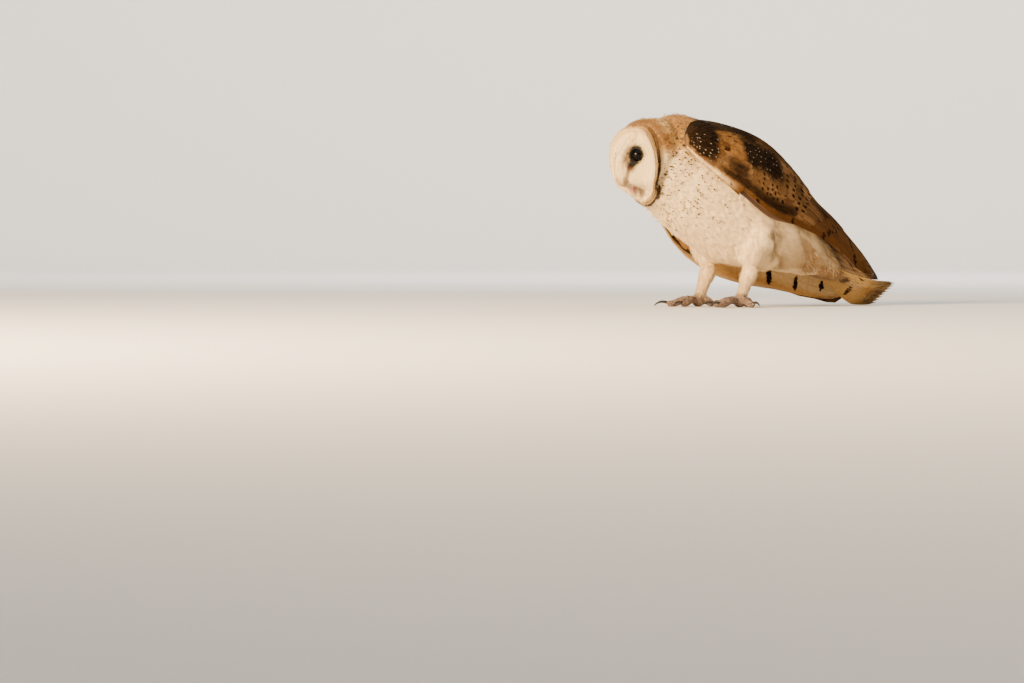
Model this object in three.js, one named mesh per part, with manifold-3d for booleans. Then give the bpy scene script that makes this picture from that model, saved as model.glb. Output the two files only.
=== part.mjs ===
// Barn owl, life size: it stands on the floor with its body leaning forward and its head lowered.
// Millimetres, +Z up. The bird faces -Y and its left side is +X. The owl is built over the origin
// of the sizes below, and the finished group is moved so that the origin lies on the floor under
// the middle of the whole bird.
import * as THREE from 'three';
import { mergeVertices } from 'three/addons/utils/BufferGeometryUtils.js';
import Module from 'manifold-3d';

const wasm = await Module();
wasm.setup();

// ---- driving dimensions -------------------------------------------------------------------

const GAP = 0.35;                 // clearance between neighbouring pieces
const REACH = 600;                // larger than the owl: the size of a cutting block

// Trunk and neck: the stations run from the throat to the end of the undertail coverts.
// Each has its ridge (y, z), its flank (half width, y, z) and its keel (y, z).
const BODY_STATIONS = [
  { ridge: [-104, 126], flank: [0, -104, 126], keel: [-104, 126] },
  { ridge: [-95, 170], flank: [33, -96, 138], keel: [-99, 108] },
  { ridge: [-72, 201], flank: [45, -76, 146], keel: [-78, 92] },
  { ridge: [-40, 197], flank: [51, -45, 138], keel: [-50, 71] },
  { ridge: [0, 184], flank: [54, -5, 120], keel: [-10, 49] },
  { ridge: [40, 158], flank: [51, 38, 100], keel: [33, 40] },
  { ridge: [75, 125], flank: [42, 72, 82], keel: [70, 37] },
  { ridge: [108, 88], flank: [31, 106, 60], keel: [105, 32] },
  { ridge: [138, 52], flank: [19, 137, 38], keel: [136, 26] },
  { ridge: [160, 31], flank: [0, 160, 31], keel: [160, 31] },
];

// Wings: the stations run from the wrist to the tip. Each has the point of the upper edge on the
// back, a point half way down the outer face, and the point of the lower edge, as (x, y, z).
// The left wing is held close. The right wing hangs looser and lower, beside the tail.
const LEFT_WING = [
  { upper: [44, -78, 170], middle: [44, -78, 170], lower: [44, -78, 170] },
  { upper: [32, -62, 188], middle: [50, -68, 171], lower: [52, -67, 155] },
  { upper: [8, -16, 188], middle: [56, -20, 160], lower: [58, -22, 120] },
  { upper: [3, 30, 176], middle: [53, 25, 145], lower: [56, 17, 93] },
  { upper: [2.5, 66, 149], middle: [43, 62, 126], lower: [49, 54, 85] },
  { upper: [2.5, 100, 115], middle: [31, 97, 102], lower: [38, 94, 75] },
  { upper: [3, 133, 93], middle: [20, 132, 80], lower: [27, 130, 55] },
  { upper: [7, 170, 57], middle: [14, 168, 49], lower: [18, 164, 31] },
  { upper: [13, 190, 27], middle: [13, 190, 27], lower: [13, 190, 27] },
];
const RIGHT_WING = [
  { upper: [44, -76, 166], middle: [44, -76, 166], lower: [44, -76, 166] },
  { upper: [32, -60, 187], middle: [52, -62, 164], lower: [54, -65, 132] },
  { upper: [8, -14, 187], middle: [60, -14, 150], lower: [60, -23, 65] },
  { upper: [3, 30, 175], middle: [58, 30, 126], lower: [60, 21, 35] },
  { upper: [2.5, 66, 147], middle: [51, 66, 98], lower: [56, 62, 22] },
  { upper: [5, 102, 111], middle: [43, 103, 72], lower: [52, 101, 16] },
  { upper: [11, 136, 80], middle: [38, 138, 47], lower: [47, 136, 9] },
  { upper: [26, 174, 46], middle: [40, 174, 26], lower: [44, 170, 6] },
  { upper: [40, 193, 14], middle: [40, 193, 14], lower: [40, 193, 14] },
];
const WING_THICKNESS = { root: 15, tip: 2.6 };

// Tail: a fan of feathers that narrows to its root, bends up a little where it rests on the floor
// and is twisted, so that its right edge is the lower one.
const TAIL = {
  path: [[0, 96, 56], [0, 125, 41.5], [0, 155, 26], [0, 185, 15.2], [0, 218, 18.2]],
  rootHalfWidth: 15, endHalfWidth: 33, thickness: 3.2, arch: 2.5, twist: 28,
};

// Head: measured from the middle of the facial disc's rim, forward being the way it faces.
const HEAD = {
  centre: [3, -103.5, 148.5], turn: 7, nod: 10, scale: 0.925,
  halfWidth: 39, halfHeight: 41.5, notch: 2.5, sideForward: 7, lip: 2.5,
  ridgeHeight: 30, ridgePower: 2.2, ridgeRound: 9, ridgeEnd: -22, bowlDepth: 5, bowlRadius: 8,
  depth: 60, crownRise: 15, domeHalfWidth: 43,
};
const EYE = { radius: 8.4, side: 14, forward: 13.6, up: 12 };
const BILL = { halfWidth: 3.6, depth: 4.6, lowerShare: 0.62 };

// Legs: the foot's place on the floor, and the heel joint above and behind it.
const LEGS = {
  left: { foot: [28, 2], outward: 10 },
  right: { foot: [-28, -13], outward: 6 },
};
const HEEL = { back: 16, height: 46 };
const THIGH = { hip: [38, 86], hipBack: 10, hipRadius: 26, heelRadius: 12.5 };
const SHANK = { heelRadius: 8.2, ankleRadius: 5.2, palmRadius: 7.4, palmHeight: 6.8 };
const TOE = { rootRadius: 4.8, tipRadius: 3.6, rise: 3, flat: 0.5 };
const CLAW = { rootRadius: 2.2, tipRadius: 0.45, overlap: 3, heights: [4.4, 5.8, 3.6, 0.7] };
const TOES = {
  hallux: { heading: 196, length: 18, claw: 13 },
  inner: { heading: -26, length: 29, claw: 15 },
  middle: { heading: 8, length: 35, claw: 15 },
  outer: { heading: 78, length: 28, claw: 13 },
};

// ---- solids -------------------------------------------------------------------------------

/** Closed surface with a pole at each end: place(t, angle) gives the point on ring t. */
function wrap(around, rings, place) {
  const sphere = new THREE.SphereGeometry(1, around, rings);
  const { position, uv } = sphere.attributes;
  for (let i = 0; i < position.count; i += 1) {
    const point = place(1 - uv.getY(i), 2 * Math.PI * uv.getX(i));
    position.setXYZ(i, point.x, point.y, point.z);
  }
  sphere.deleteAttribute('normal');
  sphere.deleteAttribute('uv');
  return faceOutward(mergeVertices(sphere, 1e-3));
}

/** The geometry with its faces turned outward, by the sign of its volume. */
function faceOutward(geometry) {
  const { index, attributes: { position } } = geometry;
  const corner = (i) => new THREE.Vector3().fromBufferAttribute(position, index.getX(i));
  let volume = 0;
  for (let i = 0; i < index.count; i += 3) {
    volume += corner(i).dot(corner(i + 1).cross(corner(i + 2)));
  }
  if (volume < 0) {
    for (let i = 0; i < index.count; i += 3) {
      const first = index.getX(i);
      index.setX(i, index.getX(i + 1));
      index.setX(i + 1, first);
    }
  }
  return geometry;
}

function toSolid(geometry) {
  return new wasm.Manifold(new wasm.Mesh({
    numProp: 3,
    vertProperties: new Float32Array(geometry.attributes.position.array),
    triVerts: new Uint32Array(geometry.index.array),
  }));
}

function toGeometry(solid) {
  const { vertProperties, triVerts } = solid.getMesh();
  const geometry = new THREE.BufferGeometry();
  geometry.setAttribute('position', new THREE.BufferAttribute(vertProperties, 3));
  geometry.setIndex(new THREE.BufferAttribute(triVerts, 1));
  return geometry;
}

/** Everything on the far side of a plane, which passes through a point and faces a direction. */
function beyond(point, direction) {
  const block = new THREE.BoxGeometry(REACH, REACH, REACH);
  block.translate(0, 0, REACH / 2);
  const turn = new THREE.Quaternion().setFromUnitVectors(
    new THREE.Vector3(0, 0, 1),
    new THREE.Vector3(...direction).normalize(),
  );
  block.applyQuaternion(turn);
  block.translate(...point);
  block.deleteAttribute('normal');
  block.deleteAttribute('uv');
  return toSolid(mergeVertices(block));
}

/** A rail is a smooth curve through one point of every station. */
const rail = (points) => new THREE.CatmullRomCurve3(
  points.map((p) => new THREE.Vector3(...p)), false, 'catmullrom', 0.5,
);

/** Tapered round-ended limb along a curve: radius(t) gives its half width and half height. */
function limb(points, radius, { around = 8, rings = 7, up = [0, 0, 1] } = {}) {
  const curve = rail(points);
  const reference = new THREE.Vector3(...up);
  return wrap(around, rings, (t, angle) => {
    const along = (1 - Math.cos(Math.PI * t)) / 2;
    const tangent = curve.getTangent(along);
    const side = new THREE.Vector3().crossVectors(tangent, reference).normalize();
    const top = new THREE.Vector3().crossVectors(side, tangent);
    const [halfWidth, halfHeight] = radius(along);
    const swell = Math.min(1, 1.5 * Math.sin(Math.PI * t));
    return curve.getPoint(along)
      .addScaledVector(side, swell * halfWidth * Math.cos(angle))
      .addScaledVector(top, swell * halfHeight * Math.sin(angle));
  });
}

// ---- trunk, neck and head -----------------------------------------------------------------

/** Trunk and neck in one, larger all round by grow. */
function bodySolid(grow = 0) {
  const ridge = rail(BODY_STATIONS.map(({ ridge: [y, z] }) => [0, y, z]));
  const flank = rail(BODY_STATIONS.map((station) => station.flank));
  const keel = rail(BODY_STATIONS.map(({ keel: [y, z] }) => [0, y, z]));
  return toSolid(wrap(20, 24, (t, angle) => {
    const side = flank.getPoint(t);
    const height = Math.cos(angle);
    const edge = (height > 0 ? ridge : keel).getPoint(t);
    const middle = new THREE.Vector3(0, side.y, side.z);
    const point = middle.clone().lerp(edge, Math.abs(height));
    point.x = side.x * Math.sign(Math.sin(angle)) * Math.abs(Math.sin(angle)) ** 0.92;
    const outward = point.clone().sub(middle);
    return outward.length() > 0 ? point.addScaledVector(outward.normalize(), grow) : point;
  }));
}

/** Heart-shaped rim of the facial disc: angle 0 is its top and it runs towards the left side. */
function discRim(angle) {
  const top = Math.max(0, Math.cos(angle)) ** 24;
  const chin = Math.max(0, -Math.cos(angle)) ** 6;
  const side = Math.sin(angle) * (1 + 0.14 * Math.cos(angle)) * (1 - 0.3 * chin);
  return {
    x: HEAD.halfWidth * side,
    z: HEAD.halfHeight * Math.cos(angle) - HEAD.notch * top,
  };
}

/** How far the face stands forward: a rounded ridge from brow to bill, and a bowl at each eye. */
function faceForward(x, z) {
  const rimForward = HEAD.sideForward * (1 - (z / HEAD.halfHeight) ** 2);
  const fromRidge = Math.hypot(x, HEAD.ridgeRound) - HEAD.ridgeRound;
  const outward = Math.min(1, fromRidge / HEAD.halfWidth);
  const fromEye = Math.hypot(Math.abs(x) - EYE.side, z - EYE.up) / HEAD.bowlRadius;
  const bowl = HEAD.bowlDepth * Math.exp(-(fromEye ** 2));
  const brow = THREE.MathUtils.smoothstep(HEAD.halfHeight - z, 0, 30);
  const chin = THREE.MathUtils.smoothstep(z, HEAD.ridgeEnd - 9, HEAD.ridgeEnd + 6);
  return rimForward + HEAD.ridgeHeight * (1 - outward) ** HEAD.ridgePower * brow * chin - bowl;
}

/** Turns a point of the head from its own axes into the bird's. */
function fromHead(x, forward, z) {
  const { degToRad } = THREE.MathUtils;
  const point = new THREE.Vector3(x, -forward, z).multiplyScalar(HEAD.scale);
  point.applyAxisAngle(new THREE.Vector3(1, 0, 0), degToRad(HEAD.nod));
  point.applyAxisAngle(new THREE.Vector3(0, 0, 1), degToRad(HEAD.turn));
  return point.add(new THREE.Vector3(...HEAD.centre));
}

function headSolid(grow = 0) {
  const FACE_SHARE = 0.45;
  return toSolid(wrap(24, 20, (t, angle) => {
    const rim = discRim(angle);
    if (t <= FACE_SHARE) {
      const spread = t / FACE_SHARE;
      const x = rim.x * spread;
      const z = rim.z * spread;
      const lip = HEAD.lip * THREE.MathUtils.smoothstep(spread, 0.7, 1);
      return fromHead(x * (1 + grow / 30), faceForward(x, z) + lip + grow, z * (1 + grow / 30));
    }
    const back = (t - FACE_SHARE) / (1 - FACE_SHARE);
    const dome = Math.sqrt(Math.max(0, 1 - back ** 2.6));
    const swell = Math.sin(Math.PI * Math.min(1, back * 1.6)) ** 0.7;
    const groove = 0.05 * Math.exp(-(((back - 0.09) / 0.06) ** 2));
    const widen = 1 + swell * (HEAD.domeHalfWidth / HEAD.halfWidth - 1) - groove;
    const rise = back * HEAD.crownRise + swell * 4;
    const rimForward = faceForward(rim.x, rim.z) + HEAD.lip;
    const forward = rimForward * (1 - back) ** 3 - HEAD.depth * back ** 1.15;
    const size = 1 + grow / 40;
    const tall = rim.z * dome * size * (1 + swell * 0.06 - groove);
    return fromHead(rim.x * dome * widen * size, forward, tall + rise);
  }));
}

function eyeSolid(side, grow = 0) {
  const ball = wrap(12, 8, (t, angle) => {
    const polar = Math.PI * t;
    const radius = EYE.radius + grow;
    return fromHead(
      side * EYE.side + radius * Math.sin(polar) * Math.cos(angle),
      EYE.forward + radius * Math.cos(polar),
      EYE.up + radius * Math.sin(polar) * Math.sin(angle),
    );
  });
  return toSolid(ball);
}

/** One half of the bill: the upper half is hooked, the lower is short and lies behind it. */
function billSolid(upper, grow = 0) {
  const route = upper
    ? [[16, -12], [19.5, -20], [17.5, -29], [12, -36]]
    : [[11.5, -16], [14, -22], [12.5, -28.5], [9.5, -33]];
  const points = route.map(([forward, up]) => fromHead(0, forward, up).toArray());
  const across = fromHead(1, 0, 0).sub(fromHead(0, 0, 0));
  const along = fromHead(0, 0, -1).sub(fromHead(0, 0, 0));
  const front = new THREE.Vector3().crossVectors(across, along).toArray();
  const share = upper ? 1 : BILL.lowerShare;
  return toSolid(limb(points, (t) => {
    const taper = 1 - 0.84 * t ** 2;
    return [BILL.halfWidth * share * taper + grow, BILL.depth * share * taper + grow];
  }, { around: 8, rings: 7, up: front }));
}

// ---- wings and tail -----------------------------------------------------------------------

/** Folded wing: a curved blade from the wrist to the tip, hollowed later by the body under it. */
function wingSolid(stations, side) {
  const place = (key) => rail(stations.map((station) => {
    const [x, y, z] = station[key];
    return [side * x, y, z];
  }));
  const [upper, middle, lower] = ['upper', 'middle', 'lower'].map(place);
  return toSolid(wrap(16, 24, (t, angle) => {
    const from = upper.getPoint(t);
    const to = lower.getPoint(t);
    const control = middle.getPoint(t).multiplyScalar(2);
    control.addScaledVector(from, -0.5).addScaledVector(to, -0.5);
    const across = new THREE.QuadraticBezierCurve3(from, control, to);
    const share = (1 - Math.cos(angle)) / 2;
    const inward = across.getTangent(share).cross(new THREE.Vector3(0, side, 0));
    inward.y = 0;
    const ends = Math.min(1, 6 * t, 6 * (1 - t)) ** 0.6;
    const { root, tip } = WING_THICKNESS;
    const thickness = THREE.MathUtils.lerp(root, tip, Math.min(1, t * 1.25));
    const inner = (0.5 - 0.5 * Math.sin(angle)) * Math.abs(Math.sin(angle)) ** 0.4;
    return across.getPoint(share).addScaledVector(inward.normalize(), thickness * ends * inner);
  }));
}

function tailSolid() {
  const { degToRad, lerp, smoothstep } = THREE.MathUtils;
  const path = rail(TAIL.path);
  const twist = degToRad(TAIL.twist);
  return toSolid(wrap(16, 14, (t, angle) => {
    const centre = path.getPoint(t);
    const rounded = Math.sqrt(Math.min(1, 5 * t, 6 * (1 - t)));
    const halfWidth = lerp(TAIL.rootHalfWidth, TAIL.endHalfWidth, t) * rounded;
    const x = halfWidth * Math.cos(angle);
    const roll = twist * smoothstep(t, 0, 0.8);
    const sag = TAIL.arch * (x / TAIL.endHalfWidth) ** 2;
    const height = TAIL.thickness / 2 * Math.sin(angle) * rounded - sag;
    return new THREE.Vector3(
      x * Math.cos(roll) - height * Math.sin(roll),
      centre.y,
      centre.z + x * Math.sin(roll) + height * Math.cos(roll),
    );
  }));
}

// ---- legs ---------------------------------------------------------------------------------

function legPlaces(name) {
  const side = name === 'left' ? 1 : -1;
  const [x, y] = LEGS[name].foot;
  return {
    side,
    hip: [side * THIGH.hip[0], y + HEEL.back + THIGH.hipBack, THIGH.hip[1]],
    heel: [x, y + HEEL.back, HEEL.height],
    ankle: [x, y, SHANK.palmHeight],
  };
}

function thighSolid(name, grow = 0) {
  const { hip, heel } = legPlaces(name);
  const knee = [0, 1, 2].map((i) => (hip[i] + heel[i]) / 2 - (i === 1 ? 9 : 0));
  return toSolid(limb([hip, knee, heel], (t) => {
    const radius = THREE.MathUtils.lerp(THIGH.hipRadius, THIGH.heelRadius, t) + grow;
    return [radius * 0.86, radius];
  }, { around: 12, rings: 10, up: [1, 0, 0] }));
}

function shankSolid(name, grow = 0) {
  const { heel, ankle } = legPlaces(name);
  const middle = [0, 1, 2].map((i) => (heel[i] + ankle[i]) / 2);
  const shank = toSolid(limb([heel, middle, ankle], (t) => {
    const radius = THREE.MathUtils.lerp(SHANK.heelRadius, SHANK.ankleRadius, t) + grow;
    return [radius, radius];
  }, { around: 10, rings: 8, up: [1, 0, 0] }));
  const palm = new THREE.SphereGeometry(SHANK.palmRadius + grow, 10, 8);
  palm.translate(...ankle);
  palm.deleteAttribute('normal');
  palm.deleteAttribute('uv');
  return shank.add(toSolid(mergeVertices(palm, 1e-3)));
}

/** A point of a foot: so far from the ankle along a heading from straight ahead, and so high. */
function footPoint(name, heading, distance, height) {
  const { side, ankle } = legPlaces(name);
  const bearing = THREE.MathUtils.degToRad(heading + LEGS[name].outward) * side;
  return [ankle[0] + distance * Math.sin(bearing), ankle[1] - distance * Math.cos(bearing), height];
}

function toeSolid(name, { heading, length }, grow = 0) {
  const seat = TOE.tipRadius - TOE.flat;
  const points = [
    footPoint(name, heading, SHANK.palmRadius * 0.6, TOE.rootRadius + TOE.rise * 0.7),
    footPoint(name, heading, length * 0.4, TOE.rootRadius + TOE.rise),
    footPoint(name, heading, length * 0.75, seat + 0.4),
    footPoint(name, heading, length, seat),
  ];
  return toSolid(limb(points, (t) => {
    const radius = THREE.MathUtils.lerp(TOE.rootRadius, TOE.tipRadius, t) + grow;
    return [radius, radius];
  }));
}

function clawSolid(name, { heading, length, claw }) {
  const base = length - 1;
  const reach = [length - CLAW.overlap, base + claw * 0.42, base + claw * 0.8, base + claw];
  const points = reach.map((distance, i) => footPoint(name, heading, distance, CLAW.heights[i]));
  return toSolid(limb(points, (t) => {
    const radius = THREE.MathUtils.lerp(CLAW.rootRadius, CLAW.tipRadius, t);
    return [radius * 0.85, radius];
  }, { around: 6, rings: 7 }));
}

// ---- the owl ------------------------------------------------------------------------------

const finish = (color, roughness) => (
  new THREE.MeshStandardMaterial({ color, roughness, metalness: 0 })
);
const FINISHES = {
  head: finish(0xd9b98a, 0.9),
  body: finish(0xe9dfcb, 0.9),
  neck: finish(0xd8b074, 0.9),
  wing: finish(0x8a6238, 0.85),
  tail: finish(0xcfb78c, 0.85),
  leg: finish(0xe6dac4, 0.9),
  toe: finish(0x8d7768, 0.7),
  claw: finish(0x1d1917, 0.35),
  bill: finish(0xd9c2b0, 0.45),
  eye: finish(0x0b0908, 0.08),
};

const owl = new THREE.Group();

function addPiece(name, solid, material) {
  const piece = new THREE.Mesh(toGeometry(solid), material);
  piece.name = name;
  owl.add(piece);
}

const aboveFloor = beyond([0, 0, 0], [0, 0, 1]);

/** The head, neck and trunk are one shape, parted by two thin cuts. The head's cut runs from the
 *  nape down to the chin, and the neck's from the mantle down to the upper breast. */
const cutDirection = [0, -1, 0.42];
const headCut = [0, -64, 180];
const neckCut = [0, -26, 180];
const alongCut = (point, step) => point.map((value, i) => value + step * cutDirection[i]);
const billUpper = billSolid(true);
const billLower = billSolid(false).subtract(billSolid(true, GAP));
const sockets = eyeSolid(1, GAP).add(eyeSolid(-1, GAP));
const billSeat = billSolid(true, GAP).add(billSolid(false, GAP));
const whole = bodySolid().add(headSolid());
const fatWhole = bodySolid(GAP).add(headSolid(GAP));

addPiece('head', whole.intersect(beyond(headCut, cutDirection))
  .subtract(sockets).subtract(billSeat), FINISHES.head);
addPiece('neck', whole.subtract(beyond(alongCut(headCut, -GAP), cutDirection))
  .intersect(beyond(neckCut, cutDirection)), FINISHES.neck);
addPiece('trunk', whole.subtract(beyond(alongCut(neckCut, -GAP), cutDirection)), FINISHES.body);
addPiece('eye_left', eyeSolid(1), FINISHES.eye);
addPiece('eye_right', eyeSolid(-1), FINISHES.eye);
addPiece('bill_upper', billUpper, FINISHES.bill);
addPiece('bill_lower', billLower, FINISHES.bill);

addPiece('wing_left', wingSolid(LEFT_WING, 1).subtract(fatWhole), FINISHES.wing);
addPiece('wing_right', wingSolid(RIGHT_WING, -1).subtract(fatWhole), FINISHES.wing);
addPiece('tail', tailSolid().subtract(fatWhole).intersect(aboveFloor), FINISHES.tail);

for (const name of ['left', 'right']) {
  addPiece(`thigh_${name}`, thighSolid(name).subtract(fatWhole), FINISHES.leg);
  addPiece(`shank_${name}`, shankSolid(name).subtract(thighSolid(name, GAP))
    .subtract(fatWhole).intersect(aboveFloor), FINISHES.leg);
  let taken = shankSolid(name, GAP);
  for (const [toe, sizes] of Object.entries(TOES)) {
    addPiece(`toe_${toe}_${name}`, toeSolid(name, sizes).subtract(taken)
      .intersect(aboveFloor), FINISHES.toe);
    taken = taken.add(toeSolid(name, sizes, GAP));
    addPiece(`claw_${toe}_${name}`, clawSolid(name, sizes)
      .subtract(toeSolid(name, sizes, GAP)), FINISHES.claw);
  }
}

const bounds = new THREE.Box3().setFromObject(owl);
const middle = bounds.getCenter(new THREE.Vector3());
owl.position.set(-middle.x, -middle.y, -bounds.min.z);

export default owl;
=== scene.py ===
"""Barn owl, life size: skin, plumage, flight feathers, eyes, bill and claws over the CAD frame.

The bird stands on the floor, leans forward and lowers its head. Its plumage is mesh: small tufts
of barbs rooted on one skin, and single vanes on the wings and tail. Sizes are in millimetres and
the scene is in metres.
"""
import logging
import math
from dataclasses import dataclass, field
from enum import Enum
from functools import partial
from typing import Callable, Iterable, Sequence

import bmesh
import bpy
import numpy as np
from mathutils import Matrix, Vector
from mathutils.bvhtree import BVHTree


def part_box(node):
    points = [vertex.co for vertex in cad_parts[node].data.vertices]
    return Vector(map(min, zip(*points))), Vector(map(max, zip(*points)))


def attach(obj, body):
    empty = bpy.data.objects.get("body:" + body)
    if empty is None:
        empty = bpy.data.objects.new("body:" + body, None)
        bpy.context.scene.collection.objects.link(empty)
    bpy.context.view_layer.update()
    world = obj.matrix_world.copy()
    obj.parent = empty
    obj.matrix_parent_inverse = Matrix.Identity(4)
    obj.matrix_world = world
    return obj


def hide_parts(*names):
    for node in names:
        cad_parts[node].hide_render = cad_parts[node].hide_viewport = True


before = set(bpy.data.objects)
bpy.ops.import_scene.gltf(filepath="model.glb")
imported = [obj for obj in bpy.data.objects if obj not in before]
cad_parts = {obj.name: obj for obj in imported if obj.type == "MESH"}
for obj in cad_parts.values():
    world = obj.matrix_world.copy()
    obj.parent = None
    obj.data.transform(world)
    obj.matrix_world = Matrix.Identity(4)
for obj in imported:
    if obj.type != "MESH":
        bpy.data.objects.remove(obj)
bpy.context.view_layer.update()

MM = 0.001
FLOOR_GAP = 0.0003  # metres by which the lowest feathers and plates clear the floor
WING_FLOOR_GAP = 0.0004
TUFT_PATCH = 0.003  # a small feather's share of the baked map
VANE_PATCH = (0.012, 0.05)  # larger, so that bars and spots keep their edges
TAIL_PATCH = (0.06, 0.8)
LOG = logging.getLogger("owl")
Array = np.ndarray
Field = Callable[[Array, Array], Array]  # a value at each place and normal
Socket = bpy.types.NodeSocket


# ---- small helpers --------------------------------------------------------------------------

def linear(hex_code: str) -> Array:
    """Turns an sRGB hex colour to linear light.

    Args:
        hex_code: six hex digits after a hash sign.

    Returns:
        Three linear channel values.
    """
    digits = hex_code.lstrip("#")
    value = np.array([int(digits[i:i + 2], 16) for i in (0, 2, 4)]) / 255.0
    return np.where(value <= 0.04045, value / 12.92, ((value + 0.055) / 1.055) ** 2.4)


def rgba(hex_code: str) -> tuple[float, ...]:
    """The linear colour of a hex code with full alpha."""
    return (*linear(hex_code), 1.0)


def step(low: float, high: float, value: Array) -> Array:
    """Smooth step of value from 0 at low to 1 at high; low may be the larger."""
    share = np.clip((np.asarray(value, float) - low) / (high - low), 0.0, 1.0)
    return share * share * (3.0 - 2.0 * share)


def band(value: Array, rise: tuple[float, float], fall: tuple[float, float]) -> Array:
    """Share that rises from 0 to 1 over the first pair and falls back over the second."""
    return step(*rise, value) * step(fall[1], fall[0], value)


def unit(vectors: Array) -> Array:
    """The vectors of the last axis scaled to length 1."""
    length = np.linalg.norm(vectors, axis=-1, keepdims=True)
    return vectors / np.maximum(length, 1e-12)


def across_to(vectors: Array, normals: Array) -> Array:
    """The unit part of each vector that lies in the plane with the given normal."""
    flat = vectors - normals * np.sum(vectors * normals, axis=-1, keepdims=True)
    return unit(flat)


def mix(first: Array, second: Array, share: Array) -> Array:
    """Blend of two colours or fields of colours by a share for each point."""
    weight = np.asarray(share, float)[..., None]
    return np.asarray(first) * (1.0 - weight) + np.asarray(second) * weight


def paint(tone: Array, colour: str, share: Array) -> Array:
    """The tone with a hex colour laid over it by a share."""
    return mix(tone, linear(colour), share)


def blend(first: str, second: str, share: Array) -> Array:
    """Blend of two hex colours by a share for each point."""
    return paint(linear(first), second, share)


def vary(draw: np.random.Generator, share: float, count: int) -> Array:
    """Random factors near 1, within twice the share on either side."""
    return 1.0 + share * draw.standard_normal(count).clip(-2, 2)


def turn_about(axis: Array, vectors: Array, angle: Array) -> Array:
    """Rotates each vector about its own unit axis by its own angle in radians."""
    cos, sin = np.cos(angle)[..., None], np.sin(angle)[..., None]
    along = axis * np.sum(axis * vectors, axis=-1, keepdims=True)
    return along + (vectors - along) * cos + np.cross(axis, vectors) * sin


def cloud(points: Array, size_mm: float, seed: int) -> Array:
    """Smooth lattice noise between 0 and 1.

    Args:
        points: positions in metres.
        size_mm: size of the noise's cells.
        seed: which noise.

    Returns:
        One value for each point.
    """
    scaled = np.asarray(points) / (size_mm * MM) + 57.3
    cell = np.floor(scaled).astype(np.int64)
    part = scaled - cell
    part = part * part * (3.0 - 2.0 * part)
    total = np.zeros(scaled.shape[:-1])
    for corner in range(8):
        bits = np.array([corner & 1, corner >> 1 & 1, corner >> 2 & 1])
        key = cell + bits
        mixed = key[..., 0] * 73856093 ^ key[..., 1] * 19349663 ^ key[..., 2] * 83492791
        mixed = (mixed ^ seed * 2654435) & 0xFFFFFF
        mixed = (mixed * 1103515 + 12345 ^ mixed >> 7) & 0xFFFFFF
        weight = np.prod(np.where(bits, part, 1.0 - part), axis=-1)
        total += weight * (mixed / 0xFFFFFF)
    return total


def new_object(name: str, mesh: bpy.types.ID) -> bpy.types.Object:
    """Links a new object for a mesh, light or camera to the scene."""
    made = bpy.data.objects.new(name, mesh)
    bpy.context.scene.collection.objects.link(made)
    return made


def pour(part: bmesh.types.BMesh, shape: bmesh.types.BMesh) -> None:
    """Adds a part's mesh to a shape and frees the part."""
    mesh = bpy.data.meshes.new("part")
    part.to_mesh(mesh)
    part.free()
    shape.from_mesh(mesh)
    bpy.data.meshes.remove(mesh)


def from_bmesh(name: str, shape: bmesh.types.BMesh) -> bpy.types.Object:
    """Makes a smooth-shaded object of a bmesh, with its faces turned outward.

    Args:
        name: the piece's name.
        shape: the bmesh, which is freed.

    Returns:
        The new object.
    """
    bmesh.ops.recalc_face_normals(shape, faces=shape.faces)
    mesh = bpy.data.meshes.new(name)
    shape.to_mesh(mesh)
    shape.free()
    mesh.polygons.foreach_set("use_smooth", [True] * len(mesh.polygons))
    return new_object(name, mesh)


def vertex_arrays(mesh: bpy.types.Mesh) -> tuple[Array, Array]:
    """The mesh's vertex positions and normals."""
    place = np.empty(len(mesh.vertices) * 3)
    mesh.vertices.foreach_get("co", place)
    normal = np.empty(len(mesh.vertices) * 3, np.float32)
    mesh.vertex_normals.foreach_get("vector", normal)
    return place.reshape(-1, 3), normal.reshape(-1, 3).astype(float)


def search_tree(mesh: bpy.types.Mesh) -> BVHTree:
    """A tree that finds the closest places of a mesh."""
    shape = bmesh.new()
    shape.from_mesh(mesh)
    tree = BVHTree.FromBMesh(shape)
    shape.free()
    return tree


def set_colour(mesh: bpy.types.Mesh, name: str, colours: Array) -> None:
    """Stores a linear colour for each vertex as an attribute."""
    layer = mesh.attributes.new(name, "FLOAT_COLOR", "POINT")
    full = np.ones((len(mesh.vertices), 4), np.float32)
    full[:, :3] = np.clip(colours, 0.0, 1.0)
    layer.data.foreach_set("color", full.ravel())


def set_vector(mesh: bpy.types.Mesh, name: str, values: Array) -> None:
    """Stores a vector for each vertex as an attribute."""
    layer = mesh.attributes.new(name, "FLOAT_VECTOR", "POINT")
    layer.data.foreach_set("vector", np.asarray(values, np.float32).ravel())


def set_uv(mesh: bpy.types.Mesh, name: str, per_vertex: Array) -> None:
    """Stores a UV map given by one coordinate for each vertex."""
    corner = np.empty(len(mesh.loops), np.int32)
    mesh.loops.foreach_get("vertex_index", corner)
    layer = mesh.uv_layers.new(name=name)
    layer.uv.foreach_set("vector", per_vertex[corner].astype(np.float32).ravel())


# ---- finishes -------------------------------------------------------------------------------

def add_node(
    tree: bpy.types.NodeTree, kind: str, links: dict[object, object] | None = None,
    **settings: object,
) -> bpy.types.Node:
    """Adds one shader node.

    Args:
        tree: the material's node tree.
        kind: the node's type name.
        links: for each input, a socket to link or a value to set.
        settings: the node's own properties.

    Returns:
        The new node.
    """
    node = tree.nodes.new(kind)
    for key, value in settings.items():
        setattr(node, key, value)
    for key, value in (links or {}).items():
        if isinstance(value, Socket):
            tree.links.new(value, node.inputs[key])
        else:
            node.inputs[key].default_value = value
    return node


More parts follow.
